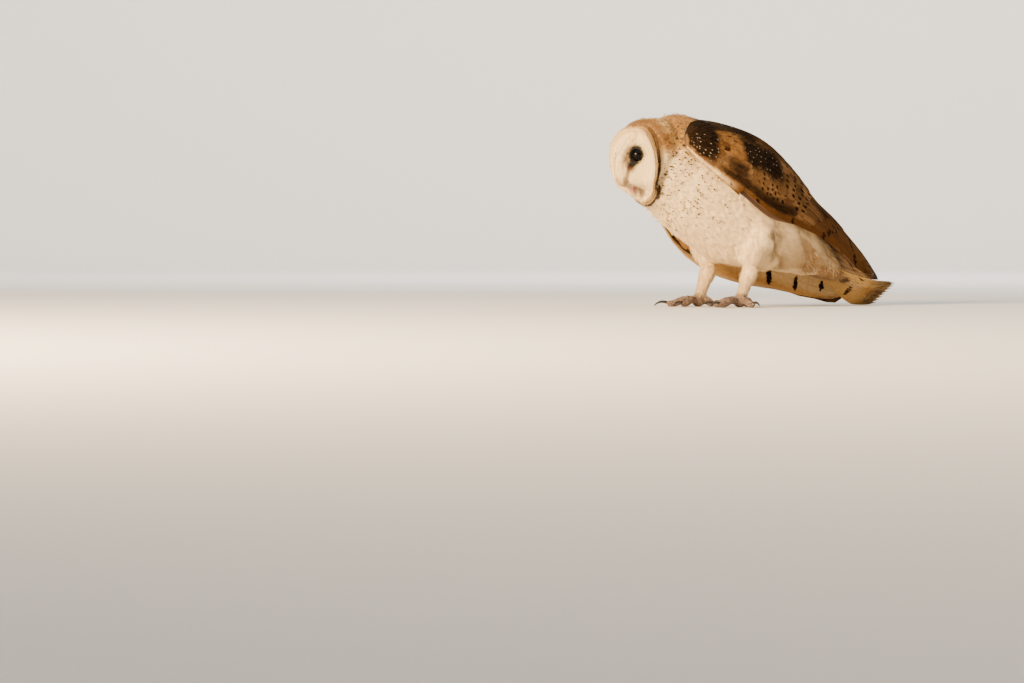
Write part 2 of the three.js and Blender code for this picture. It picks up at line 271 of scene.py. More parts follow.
@dataclass
class Shader:
    """A material round one Principled shader, with the kinds of node that the finishes share."""

    name: str
    constants: dict[str, object]  # for the shader's own sockets
    material: bpy.types.Material = field(init=False)
    surface: bpy.types.Node = field(init=False)

    def __post_init__(self) -> None:
        """Makes the material with its shader and output."""
        self.material = bpy.data.materials.new(self.name)
        self.material.use_nodes = True
        self.material.node_tree.nodes.clear()
        self.surface = self.node("BsdfPrincipled", self.constants)
        self.node("OutputMaterial", {"Surface": self.surface.outputs[0]})

    def node(
        self, kind: str, links: dict[object, object] | None = None, **settings: object
    ) -> bpy.types.Node:
        """Adds a node of this kind to the material."""
        return add_node(self.material.node_tree, f"ShaderNode{kind}", links, **settings)

    def attribute(self, name: str, output: str = "Color") -> Socket:
        """What a mesh attribute holds."""
        return self.node("Attribute", attribute_name=name).outputs[output]

    def place(self) -> Socket:
        """The place on the piece, in metres."""
        return self.node("TexCoord").outputs["Object"]

    def parts(self, vector: Socket) -> Sequence[Socket]:
        """The three parts of a vector."""
        return self.node("SeparateXYZ", {0: vector}).outputs[0:3]

    def noise(self, place: Socket, cell_mm: float, detail: float) -> Socket:
        """Noise in cells of a size in millimetres."""
        links = {"Vector": place, "Scale": 1.0 / (cell_mm * MM), "Detail": detail}
        return self.node("TexNoise", links).outputs[0]

    def maths(self, operation: str, *values: object) -> Socket:
        """The result of one Math node on the values."""
        return self.node("Math", dict(enumerate(values)), operation=operation).outputs[0]

    def fade(self, value: object, low: float, high: float) -> Socket:
        """Smooth step from 0 at low to 1 at high."""
        links = {"Value": value, "From Min": low, "From Max": high}
        return self.node("MapRange", links, interpolation_type="SMOOTHSTEP").outputs[0]

    def ranged(
        self, value: Socket, low: float, high: float, span: tuple[float, float] = (0.3, 0.7)
    ) -> Socket:
        """A span of the value, stretched to run from low to high."""
        links = {"Value": value, "From Min": span[0], "From Max": span[1]}
        return self.node("MapRange", links | {"To Min": low, "To Max": high}).outputs[0]

    def scaled(self, colour: Socket, factor: Socket) -> Socket:
        """The colour times a factor."""
        return self.node("VectorMath", {0: colour, "Scale": factor}, operation="SCALE").outputs[0]

    def mixed(self, share: Socket, first: object, second: object) -> Socket:
        """Blend of two colours by a share."""
        return self.node("Mix", {0: share, 6: first, 7: second}, data_type="RGBA").outputs[2]

    def finish(
        self, colour: Socket | None, height: Socket | None = None, strength: float = 0.0,
        depth: float = 0.0,
    ) -> bpy.types.Material:
        """Links what the shader shows.

        Args:
            colour: the base colour, or none where it is a constant.
            height: the relief, or none for a smooth face.
            strength: how strongly the relief shows.
            depth: the relief's depth in metres.

        Returns:
            The material.
        """
        tree = self.material.node_tree
        if colour is not None:
            tree.links.new(colour, self.surface.inputs["Base Color"])
        if height is not None:
            bump = self.node("Bump", {"Height": height, "Strength": strength, "Distance": depth})
            tree.links.new(bump.outputs[0], self.surface.inputs["Normal"])
        return self.material


@dataclass(frozen=True)
class DownFinish:
    """Contour feathers and down: soft keratin barbs, matt, with a faint bloom at grazing angles."""

    name: str = "feather_barbs_soft"
    roughness: float = 0.86
    bloom: float = 0.12
    barb_mm: float = 0.9  # a real barb is about 0.2 mm apart, drawn coarser so that it shows
    mottle: float = 0.10

    def build(self) -> bpy.types.Material:
        """Makes the material, which reads the tint attribute."""
        shader = Shader(self.name, {
            "Roughness": self.roughness, "Sheen Weight": self.bloom, "Sheen Roughness": 0.55,
            "Specular IOR Level": 0.25, "Sheen Tint": (1.0, 0.95, 0.88, 1.0),
        })
        tint = shader.attribute("tint")
        grain = shader.noise(shader.place(), self.barb_mm, 2.0)
        shade = shader.ranged(grain, 1.0 - self.mottle, 1.0 + self.mottle)
        return shader.finish(shader.scaled(tint, shade), grain, 0.25, 0.0004)


@dataclass(frozen=True)
class VaneFinish:
    """Flight feathers and coverts: closed vanes with a shaft, matt, barbs running to the edge.

    The tint and dark attributes are the two colours. Marks holds the weights of bars, spot and
    pearl. Sizes holds millimetres along the feather, the bars' phase and the streak's weight.
    """

    name: str = "feather_vane_closed"
    roughness: float = 0.62
    barb_mm: float = 1.1  # a real barb is about 0.4 mm apart, drawn coarser so that it shows
    shaft_share: float = 0.035
    shaft: str = "#6A4B2C"
    pearl: str = "#958A79"

    def build(self) -> bpy.types.Material:
        """Makes the material, which reads the vane UV map and the feather's attributes."""
        shader = Shader(self.name, {
            "Roughness": self.roughness, "Sheen Weight": 0.01, "Sheen Roughness": 0.5,
            "Specular IOR Level": 0.0,
        })
        maths, fade = shader.maths, shader.fade
        plus, minus, times, over = (
            partial(maths, word) for word in ("ADD", "SUBTRACT", "MULTIPLY", "DIVIDE")
        )

        def radius(wide: Socket, tall: Socket) -> Socket:
            """How far out a place lies on an oval, 1 at its edge."""
            return maths("SQRT", plus(times(wide, wide), times(tall, tall)))

        side, along, _ = shader.parts(shader.node("UVMap", uv_map="vane").outputs[0])
        tint, dark = shader.attribute("tint"), shader.attribute("dark")
        marks, sizes = shader.attribute("marks", "Vector"), shader.attribute("sizes", "Vector")
        bars, spot, pearl = shader.parts(marks)
        run, phase, streak = shader.parts(sizes)
        grain = shader.noise(shader.place(), 3.0, 3.0)
        wobble = times(minus(grain, 0.5), 0.55)
        off_shaft = maths("ABSOLUTE", minus(side, 0.42))
        slant = minus(run, times(off_shaft, 9.0))
        # bars: dark bands where the phase is a whole number, narrower as their weight falls
        turns = plus(phase, times(wobble, 0.35))
        wave = maths("ABSOLUTE", minus(maths("FRACT", turns), 0.5))
        thin = times(minus(1.0, bars), 0.12)
        bar = fade(minus(wave, thin), 0.385, 0.420)
        # spot: one dark oval near the tip
        wide = over(plus(minus(side, 0.5), times(wobble, 0.2)), 0.19)
        tall = over(minus(along, 0.80), 0.10)
        oval = times(fade(radius(wide, tall), 1.15, 0.8), spot)
        # pearl: a pale dot inside a dark one, close to the tip
        tall = over(minus(along, 0.90), 0.05)
        ring = radius(over(minus(side, 0.5), 0.07), tall)
        surround = times(fade(ring, 2.2, 1.2), pearl)
        dot = times(fade(ring, 1.0, 0.7), pearl)
        # streak: a dark line beside the shaft
        line = times(fade(off_shaft, 0.16, 0.05), streak)
        line = times(line, fade(plus(along, wobble), 0.25, 0.6))
        darkest = maths("MAXIMUM", maths("MAXIMUM", bar, oval), maths("MAXIMUM", surround, line))
        base = shader.scaled(tint, shader.ranged(grain, 0.84, 1.14))
        colour = shader.mixed(darkest, base, dark)
        colour = shader.mixed(dot, colour, rgba(self.pearl))
        shaft = fade(off_shaft, self.shaft_share, self.shaft_share * 0.4)
        colour = shader.mixed(times(shaft, 0.35), colour, rgba(self.shaft))
        barbs = maths("SINE", times(slant, 2.0 * math.pi / self.barb_mm))
        height = plus(times(barbs, 0.3), times(shaft, 1.2))
        return shader.finish(colour, height, 0.5, 0.0002)


@dataclass(frozen=True)
class SkinFinish:
    """Bird skin under the coat: matt and finely wrinkled, in the colours of the coat over it."""

    name: str = "bird_skin_matt"
    wrinkle_mm: float = 1.6

    def build(self) -> bpy.types.Material:
        """Makes the material, which reads the tint attribute and darkens it in the wrinkles as
        painted shade.
        """
        shader = Shader(self.name, {
            "Roughness": 0.78, "Specular IOR Level": 0.3, "Sheen Weight": 0.1,
        })
        tint = shader.attribute("tint")
        links = {"Vector": shader.place(), "Scale": 1.0 / (self.wrinkle_mm * MM)}
        cells = shader.node("TexVoronoi", links, feature="DISTANCE_TO_EDGE")
        edge = shader.ranged(cells.outputs[0], 0.55, 1.0, (0.0, 0.16))
        return shader.finish(shader.scaled(tint, edge), edge, 0.6, 0.0004)


@dataclass(frozen=True)
class HornFinish:
    """Keratin horn of bill and claws: smooth, with growth lines and a paler or darker tip."""

    name: str
    base: str
    tip: str
    roughness: float
    low: float  # height in metres where the tip's colour begins
    high: float  # height where the base's colour is full
    grain_mm: float = 0.7

    def build(self) -> bpy.types.Material:
        """Makes the material, graded by height."""
        shader = Shader(self.name, {
            "Roughness": self.roughness, "Coat Weight": 0.15, "Coat Roughness": 0.3,
            "Subsurface Weight": 0.08, "Subsurface Radius": (0.002, 0.001, 0.0006),
        })
        place = shader.place()
        share = shader.fade(shader.parts(place)[2], self.low, self.high)
        grain = shader.noise(place, self.grain_mm, 3.0)
        colour = shader.mixed(share, rgba(self.tip), rgba(self.base))
        toned = shader.scaled(colour, shader.ranged(grain, 0.85, 1.12))
        return shader.finish(toned, grain, 0.2, 0.0002)


@dataclass(frozen=True)
class EyeFinish:
    """Glass eye as a museum sets it: nearly black iris under a clear, wet cornea."""

    name: str = "eye_glass_black"
    iris: str = "#070403"
    pupil: str = "#030202"
    mottle_mm: float = 2.0

    def build(self) -> bpy.types.Material:
        """Makes the material, with a faint brown mottle in the iris."""
        shader = Shader(self.name, {
            "Roughness": 0.25, "Coat Weight": 0.18, "Coat Roughness": 0.04,
            "Specular IOR Level": 0.05,
        })
        mottle = shader.noise(shader.place(), self.mottle_mm, 2.0)
        return shader.finish(shader.mixed(mottle, rgba(self.pupil), rgba(self.iris)))


@dataclass(frozen=True)
class FloorFinish:
    """Painted studio floor and sweep: matt, pale and almost even."""

    name: str = "studio_paint_matt"
    paint: str = "#F0ECE6"
    nap_mm: float = 4.0

    def build(self) -> bpy.types.Material:
        """Makes the material, with a roller's faint texture."""
        shader = Shader(self.name, {
            "Roughness": 0.9, "Specular IOR Level": 0.1, "Base Color": rgba(self.paint),
        })
        return shader.finish(None, shader.noise(shader.place(), self.nap_mm, 2.0), 0.05, 0.0005)


# ---- the bird's own shapes ------------------------------------------------------------------

class Side(Enum):
    """Which side of the bird, with the sign of its x."""

    LEFT = 1
    RIGHT = -1

    @property
    def label(self) -> str:
        """The side's name as the CAD nodes spell it."""
        return self.name.lower()


@dataclass
class Rail:
    """Smooth curve through points, as the CAD draws it."""

    points: Sequence[Sequence[float]]

    def at(self, share: Array) -> Array:
        """The curve's points at shares of its length in stations, from 0 to 1."""
        given = np.asarray(self.points, float)
        ends = np.vstack([2 * given[0] - given[1], given, 2 * given[-1] - given[-2]])
        place = np.clip(np.asarray(share, float), 0.0, 1.0) * (len(given) - 1)
        first = np.minimum(place.astype(int), len(given) - 2)
        w = (place - first)[..., None]
        before, start, end, after = (ends[first + i] for i in range(4))
        leave, arrive = (end - before) / 2, (after - start) / 2
        return (
            start * (2 * w**3 - 3 * w**2 + 1) + leave * (w**3 - 2 * w**2 + w)
            + end * (3 * w**2 - 2 * w**3) + arrive * (w**3 - w**2)
        )


@dataclass
class HeadShape:
    """The head's own axes and the heart-shaped rim of its face, in the CAD's sizes."""

    centre: tuple[float, float, float] = (3.0, -103.5, 148.5)
    scale: float = 0.925
    turn: float = math.radians(7.0)
    nod: float = math.radians(10.0)
    half_width: float = 39.0
    half_height: float = 41.5
    notch: float = 2.5
    side_forward: float = 7.0
    ridge_height: float = 30.0
    ridge_power: float = 2.2
    ridge_round: float = 9.0
    bowl_depth: float = 5.0
    bowl_radius: float = 8.0
    ridge_end: float = -22.0
    eye: tuple[float, float, float] = (14.0, 13.6, 12.0)  # side, forward, up
    eye_radius: float = 8.0  # the glass eye, a little inside the CAD ball
    shift: Array = field(default_factory=lambda: np.zeros(3))

    def __post_init__(self) -> None:
        """Finds where the CAD put the bird, from the place of its left eye."""
        low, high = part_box("eye_left")
        middle = np.array((low + high) / 2) / MM
        self.shift = middle - self.point(np.array(self.eye)) / MM

    def rotation(self) -> Array:
        """The matrix that turns the head's axes into the bird's."""
        turned = Matrix.Rotation(self.turn, 3, "Z") @ Matrix.Rotation(self.nod, 3, "X")
        return np.array(turned)

    def point(self, local: Array) -> Array:
        """A point given as side, forward and up, in millimetres, in the scene's metres."""
        axes = np.stack([local[..., 0], -local[..., 1], local[..., 2]], axis=-1)
        return (self.scale * axes @ self.rotation().T + np.array(self.centre) + self.shift) * MM

    def direction(self, local: Array) -> Array:
        """A direction given as side, forward and up."""
        axes = np.stack([local[..., 0], -local[..., 1], local[..., 2]], axis=-1)
        return axes @ self.rotation().T

    def local(self, points: Array) -> Array:
        """Side, forward and up in millimetres of points in the scene."""
        axes = (self.plain(points) - np.array(self.centre)) @ self.rotation() / self.scale
        return np.stack([axes[..., 0], -axes[..., 1], axes[..., 2]], axis=-1)

    def plain(self, points: Array) -> Array:
        """Points of the scene in the CAD's unshifted millimetres."""
        return points / MM - self.shift

    def rim(self, angle: Array) -> tuple[Array, Array]:
        """The rim's side and up at an angle from the top towards the left."""
        cos, sin = np.cos(angle), np.sin(angle)
        chin = np.maximum(0.0, -cos) ** 6
        side = sin * (1 + 0.14 * cos) * (1 - 0.3 * chin)
        return (
            self.half_width * side,
            self.half_height * cos - self.notch * np.maximum(0.0, cos) ** 24,
        )

    def spread(self, side: Array, up: Array) -> Array:
        """How far out a place is on the disc: 0 at its middle and 1 at its rim."""
        angle = np.linspace(-math.pi, math.pi, 361)
        rim_side, rim_up = self.rim(angle)
        bearing = np.unwrap(np.arctan2(rim_side, rim_up))
        radius = np.hypot(rim_side, rim_up)
        return np.hypot(side, up) / np.interp(np.arctan2(side, up), bearing, radius)

    def face_forward(self, side: Array, up: Array) -> Array:
        """How far the face's surface stands forward."""
        rim_forward = self.side_forward * (1 - (up / self.half_height) ** 2)
        from_ridge = np.hypot(side, self.ridge_round) - self.ridge_round
        outward = np.minimum(1.0, from_ridge / self.half_width)
        from_eye = np.hypot(np.abs(side) - self.eye[0], up - self.eye[2]) / self.bowl_radius
        bowl = self.bowl_depth * np.exp(-(from_eye**2))
        brow = step(0.0, 30.0, self.half_height - up)
        chin = step(self.ridge_end - 9, self.ridge_end + 6, up)
        ridge = self.ridge_height * (1 - outward) ** self.ridge_power * brow * chin
        return rim_forward + ridge - bowl


@dataclass
class WingShape:
    """Outer and inner face of a folded wing, by shares from wrist to tip and back to edge."""

    side: Side
    upper: Sequence[tuple[float, float, float]]
    middle: Sequence[tuple[float, float, float]]
    lower: Sequence[tuple[float, float, float]]
    shift: Array
    root_thickness: float = 15.0
    tip_thickness: float = 2.6
    probe: float = 0.004

    def rails(self, t: Array) -> tuple[Array, Array, Array]:
        """The section's start, control and end points."""
        start, middle, end = (Rail(rail).at(t) for rail in (self.upper, self.middle, self.lower))
        return start, 2 * middle - (start + end) / 2, end

    def raw(self, t: Array, s: Array, outer: float) -> Array:
        """Point of the outer face (outer 1) or inner face (outer -1), in CAD millimetres."""
        start, control, end = self.rails(t)
        w = s[..., None]
        across = (1 - w) ** 2 * start + 2 * (1 - w) * w * control + w**2 * end
        tangent = 2 * (1 - w) * (control - start) + 2 * w * (end - control)
        away = np.stack([-tangent[..., 2], np.zeros_like(s), tangent[..., 0]], axis=-1)
        bulge = 2 * np.sqrt(np.clip(s * (1 - s), 0, 1))
        ends = np.minimum(1.0, np.minimum(6 * t, 6 * (1 - t))) ** 0.6
        slim = np.minimum(1.0, t * 1.25)
        thickness = self.root_thickness + (self.tip_thickness - self.root_thickness) * slim
        depth = thickness * ends * (0.5 + 0.5 * outer * bulge) * bulge**0.4
        return across + unit(away) * depth[..., None]

    def surface(self, t: Array, s: Array, outer: float = 1.0) -> tuple[Array, Array]:
        """Places and outward normals on a face; shares past the edge go straight on.

        Args:
            t: shares from wrist to tip.
            s: shares from the edge on the back to the lower edge.
            outer: 1 for the outer face and -1 for the inner.

        Returns:
            Places and unit normals, in millimetres of the scene's frame.
        """
        t, s = np.broadcast_arrays(np.asarray(t, float), np.asarray(s, float))
        inside = np.clip(s, 0.03, 0.97)
        held = np.clip(t, 0.01, 0.985)
        h = self.probe
        place = self.raw(held, inside, outer)
        along = (self.raw(held + h, inside, outer) - self.raw(held - h, inside, outer)) / (2 * h)
        over = (self.raw(held, inside + h, outer) - self.raw(held, inside - h, outer)) / (2 * h)
        normal = unit(np.cross(over, along))
        place = place + over * (s - inside)[..., None] + along * (t - held)[..., None]
        mirror = np.array([self.side.value, 1.0, 1.0])
        return place * mirror + self.shift, normal * mirror

    def stretch(self, t: Array, s: Array, dt: float, ds: float) -> Array:
        """Millimetres for each unit of share in one direction over the outer face."""
        t, s = np.broadcast_arrays(np.clip(t, 0.01, 0.985), np.clip(s, 0.05, 0.95))
        gap = self.raw(t + dt, s + ds, 1.0) - self.raw(t - dt, s - ds, 1.0)
        return np.linalg.norm(gap, axis=-1) / (2 * self.probe)

    def girth(self, t: Array, s: Array) -> Array:
        """Millimetres for each unit of share across."""
        return self.stretch(t, s, 0.0, self.probe)

    def reach(self, t: Array, s: Array) -> Array:
        """Millimetres for each unit of share from wrist to tip."""
        return self.stretch(t, s, self.probe, 0.0)


@dataclass
class TailShape:
    """Both faces of the tail's fan, by shares from root to tip and from side to side."""

    shift: Array
    path: Sequence[tuple[float, float]] = (
        (96, 56), (125, 41.5), (155, 26), (185, 15.2), (218, 18.2),
    )
    root_half: float = 15.0
    end_half: float = 33.0
    thickness: float = 3.2
    arch: float = 2.5
    twist: float = math.radians(28.0)

    def surface(self, t: Array, q: Array, height: Array) -> Array:
        """Places on the fan.

        Args:
            t: shares from root to tip.
            q: shares across, from -1 on the right to 1 on the left.
            height: millimetres above the fan's middle layer.

        Returns:
            Places in millimetres of the scene's frame.
        """
        t, q, height = np.broadcast_arrays(*(np.asarray(v, float) for v in (t, q, height)))
        centre = Rail([(0.0, y, z) for y, z in self.path]).at(t)
        x = q * (self.root_half + (self.end_half - self.root_half) * t)
        roll = self.twist * step(0.0, 0.8, t)
        lift = height - self.arch * (x / self.end_half) ** 2
        return np.stack([
            x * np.cos(roll) - lift * np.sin(roll), centre[..., 1],
            centre[..., 2] + x * np.sin(roll) + lift * np.cos(roll),
        ], axis=-1) + self.shift


# ---- markings -------------------------------------------------------------------------------

@dataclass(frozen=True)
class Plumage:
    """Colours and markings of skin and coat, as functions of the place on the bird."""

    head: HeadShape
    cream: str = "#F8D9A6"
    face: str = "#F7DAA4"
    face_edge: str = "#B48C54"
    gold: str = "#A87B3E"
    gold_deep: str = "#8F6238"
    gold_pale: str = "#CFA86C"
    brow: str = "#64401F"
    # painted shade in the nook between the shoulders
    shoulder_nook_shade: str = "#2E180C"
    grey: str = "#3D342D"
    # the vent's buff, darkened as painted shade under the tail
    buff: str = "#8A6539"
    shank: str = "#DDBE92"
    toe: str = "#7C6455"
    brown_and_hollow_shade: str = "#6E4424"  # the soft brown fan on the bill's side of the eye: brown plumage with painted shade of the eye's hollow
    tear: str = "#5E3119"  # the red-brown patch under the eye
    # painted shade along the crease that runs from the eye to the bill
    crease_shade: str = "#5A3626"
    socket: str = "#140A06"  # the dark ring that sets the eye: dark lids and feathers with painted shade of the deep socket
    bill_side: str = "#7C5036"
    # dark feathers behind the disc's rim, with painted shade in the groove there
    rim_line_and_shade: str = "#2A170C"
    # painted shade in the clefts between the flank's lobes
    cleft_shade: str = "#6B4A2C"
    bristle: str = "#BFA489"
    speck: str = "#3A2619"
    ruff: str = "#4A2A15"
    ruff_tip: str = "#170C06"

    def axes(self, points: Array) -> Array:
        """Side, forward and up of the points in the head's axes, one row for each."""
        return np.moveaxis(self.head.local(points), -1, 0)

    def face_share(self, points: Array) -> Array:
        """How far each point belongs to the facial disc, from 0 to 1."""
        side, forward, up = self.axes(points)
        spread = self.head.spread(side, up)
        deep = self.head.face_forward(side, up) - forward
        return step(1.04, 0.98, spread) * step(9.0, 6.0, deep)

    def face_colour(self, points: Array) -> Array:
        """Cream disc, browner towards the eye and the bill, with painted shade round the eye and
        along the crease to the bill, and buff at the rim.
        """
        side, _, up = self.axes(points)
        eye_side, _, eye_up = self.head.eye
        spread = self.head.spread(side, up)
        tone = blend(self.face, self.face_edge, 0.85 * step(0.86, 0.99, spread))
        inward, above = np.abs(side) - eye_side, up - eye_up
        bearing = np.arctan2(inward, above)
        rays = 0.5 + 0.5 * np.sin(bearing * 23.0 + 3.0 * cloud(points, 6.0, 8))
        # brown plumage and painted shade of the eye's hollow on the bill's side of the eye,
        # red-brown below it, and painted shade along the crease to the bill
        toward = np.where(inward < 0.0, inward * 2.1, inward * 1.1)
        ring = step(18.0, 8.5, np.hypot(toward * 0.9, above)) * step(2.0, -2.5, inward)
        tone = paint(tone, self.brown_and_hollow_shade, ring * (0.7 + 0.3 * rays))
        below = np.hypot((inward + 1.2) / 5.0, (above + 10.5) / 8.5)
        tone = paint(tone, self.tear, 0.92 * step(1.2, 0.4, below + 0.12 * rays))
        crease_share = np.clip((-8.0 - above) / 22.0, 0.0, 1.0)
        off_crease = np.abs(np.abs(side) - (13.0 - 6.5 * crease_share))
        crease_shade = step(2.8, 0.4, off_crease)
        crease_shade = crease_shade * band(up, (-22.0, -18.0), (eye_up - 12.0, eye_up - 5.0))
        tone = paint(tone, self.crease_shade, 0.8 * crease_shade)
        # painted shade of the deep socket over the dark lids: a dark ring round the eye and a
        # darker lower inner corner
        dark = np.hypot(toward, above * 0.80) - 0.7 * rays
        tone = paint(tone, self.socket, 0.97 * step(9.4, 7.8, dark))
        low_corner = np.hypot((inward + 0.8) / 3.8, (above + 7.5) / 6.0)
        tone = paint(tone, self.socket, 0.95 * step(1.1, 0.6, low_corner))
        beside_bill = step(11.0, 4.0, np.hypot(side, (up + 23.0) * 0.6))
        return paint(tone, self.bill_side, 0.6 * beside_bill)

    def body_colour(self, points: Array, normals: Array) -> Array:
        """Gold above, cream below, grey-veiled on the mantle, buff under the tail, with painted
        shade on the faces turned down under the tail, in the nook between the shoulders, behind the
        disc's rim and in the flank's clefts.
        """
        _, y, z = np.moveaxis(self.head.plain(points), -1, 0)
        drift = cloud(points, 22.0, 3) - 0.5
        fine = cloud(points, 7.0, 4) - 0.5
        # the gold's lower border falls from the cheek to the shoulder and is ragged
        border = 155.0 - 0.18 * (y + 100.0) + 18.0 * drift + 12.0 * fine
        gold_share = step(border - 18.0, border + 20.0, z + 6.0 * normals[..., 2])
        gold = blend(self.gold, self.gold_pale, step(0.0, 0.5, drift + fine))
        gold = paint(gold, self.gold_deep, 0.6 * step(-0.05, -0.5, drift + 0.6 * fine))
        tone = mix(linear(self.cream), gold, gold_share)
        side, forward, up = self.axes(points)
        over_brow = step(8.0, 26.0, up) * step(-16.0, -2.0, forward)
        tone = paint(tone, self.brow, 0.85 * over_brow)
        # a dark line hugs the disc's rim from behind, from the cheek to the chin: dark feathers
        # with painted shade in the groove behind the rim
        deep = self.head.face_forward(side, up) - forward
        line = band(deep, (0.5, 2.0), (4.5, 6.0)) * step(1.09, 1.07, self.head.spread(side, up))
        tone = paint(tone, self.rim_line_and_shade, 0.9 * line * step(12.0, 4.0, up))
        mantle = step(-50.0, -34.0, y) * step(0.15, 0.6, normals[..., 2])
        veil = step(0.32, 0.6, cloud(points, 12.0, 9))
        tone = mix(tone, blend(self.gold_deep, self.grey, veil), mantle)
        # painted shade in the nook between the shoulders, where the wings meet the back
        nook_shade_share = step(-66.0, -52.0, y) * step(0.5, 0.8, normals[..., 2])
        tone = paint(tone, self.shoulder_nook_shade, 0.8 * nook_shade_share)
        # painted shade: darker buff on the faces that turn down under the tail, over the vent's own
        # buff
        under = step(20.0, 95.0, y) * step(0.0, -0.7, normals[..., 2])
        vent = np.clip(0.5 * step(30.0, 100.0, y) + 0.8 * under, 0, 0.95)
        tone = paint(tone, self.buff, vent)
        # painted shade in the clefts where the flank's loose lobes part
        return paint(tone, self.cleft_shade, 0.6 * self.cleft(points))

    def cleft(self, points: Array) -> Array:
        """Where the loose lobes of the flank's feathers part, from 0 to 1."""
        _, y, z = np.moveaxis(self.head.plain(points), -1, 0)
        run = y + 0.45 * (z - 70.0) + 9.0 * (cloud(points, 26.0, 24) - 0.5)
        phase = np.abs(((run - 41.0) / 33.0) % 1.0 - 0.5) * 2.0
        parted = step(0.62, 1.0, phase) * band(run, (24.0, 38.0), (112.0, 130.0))
        return parted * step(104.0, 88.0, z)

    def leg_colour(self, points: Array) -> Array:
        """Cream thighs that turn brown down the shank, and dusky toes."""
        z = points[..., 2] / MM
        tone = blend(self.shank, self.cream, step(18.0, 48.0, z))
        return mix(linear(self.toe), tone, step(9.0, 14.0, z))

    def colour(self, points: Array, normals: Array) -> Array:
        """The colour of skin and coat at each point."""
        tone = self.body_colour(points, normals)
        tone = mix(tone, self.face_colour(points), self.face_share(points))
        low = step(50.0, 40.0, points[..., 2] / MM) * step(60.0, 50.0, points[..., 1] / MM)
        return mix(tone, self.leg_colour(points), low)

    def speck_chance(self, points: Array) -> Array:
        """The chance that a feather carries a dark speck."""
        _, y, z = np.moveaxis(self.head.plain(points), -1, 0)
        clump = 0.35 + 0.65 * step(0.3, 0.7, cloud(points, 13.0, 21))
        neck = step(-104.0, -92.0, y) * step(-48.0, -66.0, y) * step(60.0, 85.0, z)
        breast = step(-70.0, -50.0, y) * step(20.0, -40.0, y) * step(60.0, 90.0, z)
        return np.clip(neck * 0.6 * clump + 0.12 * breast, 0.0, 1.0)


# ---- skin -----------------------------------------------------------------------------------

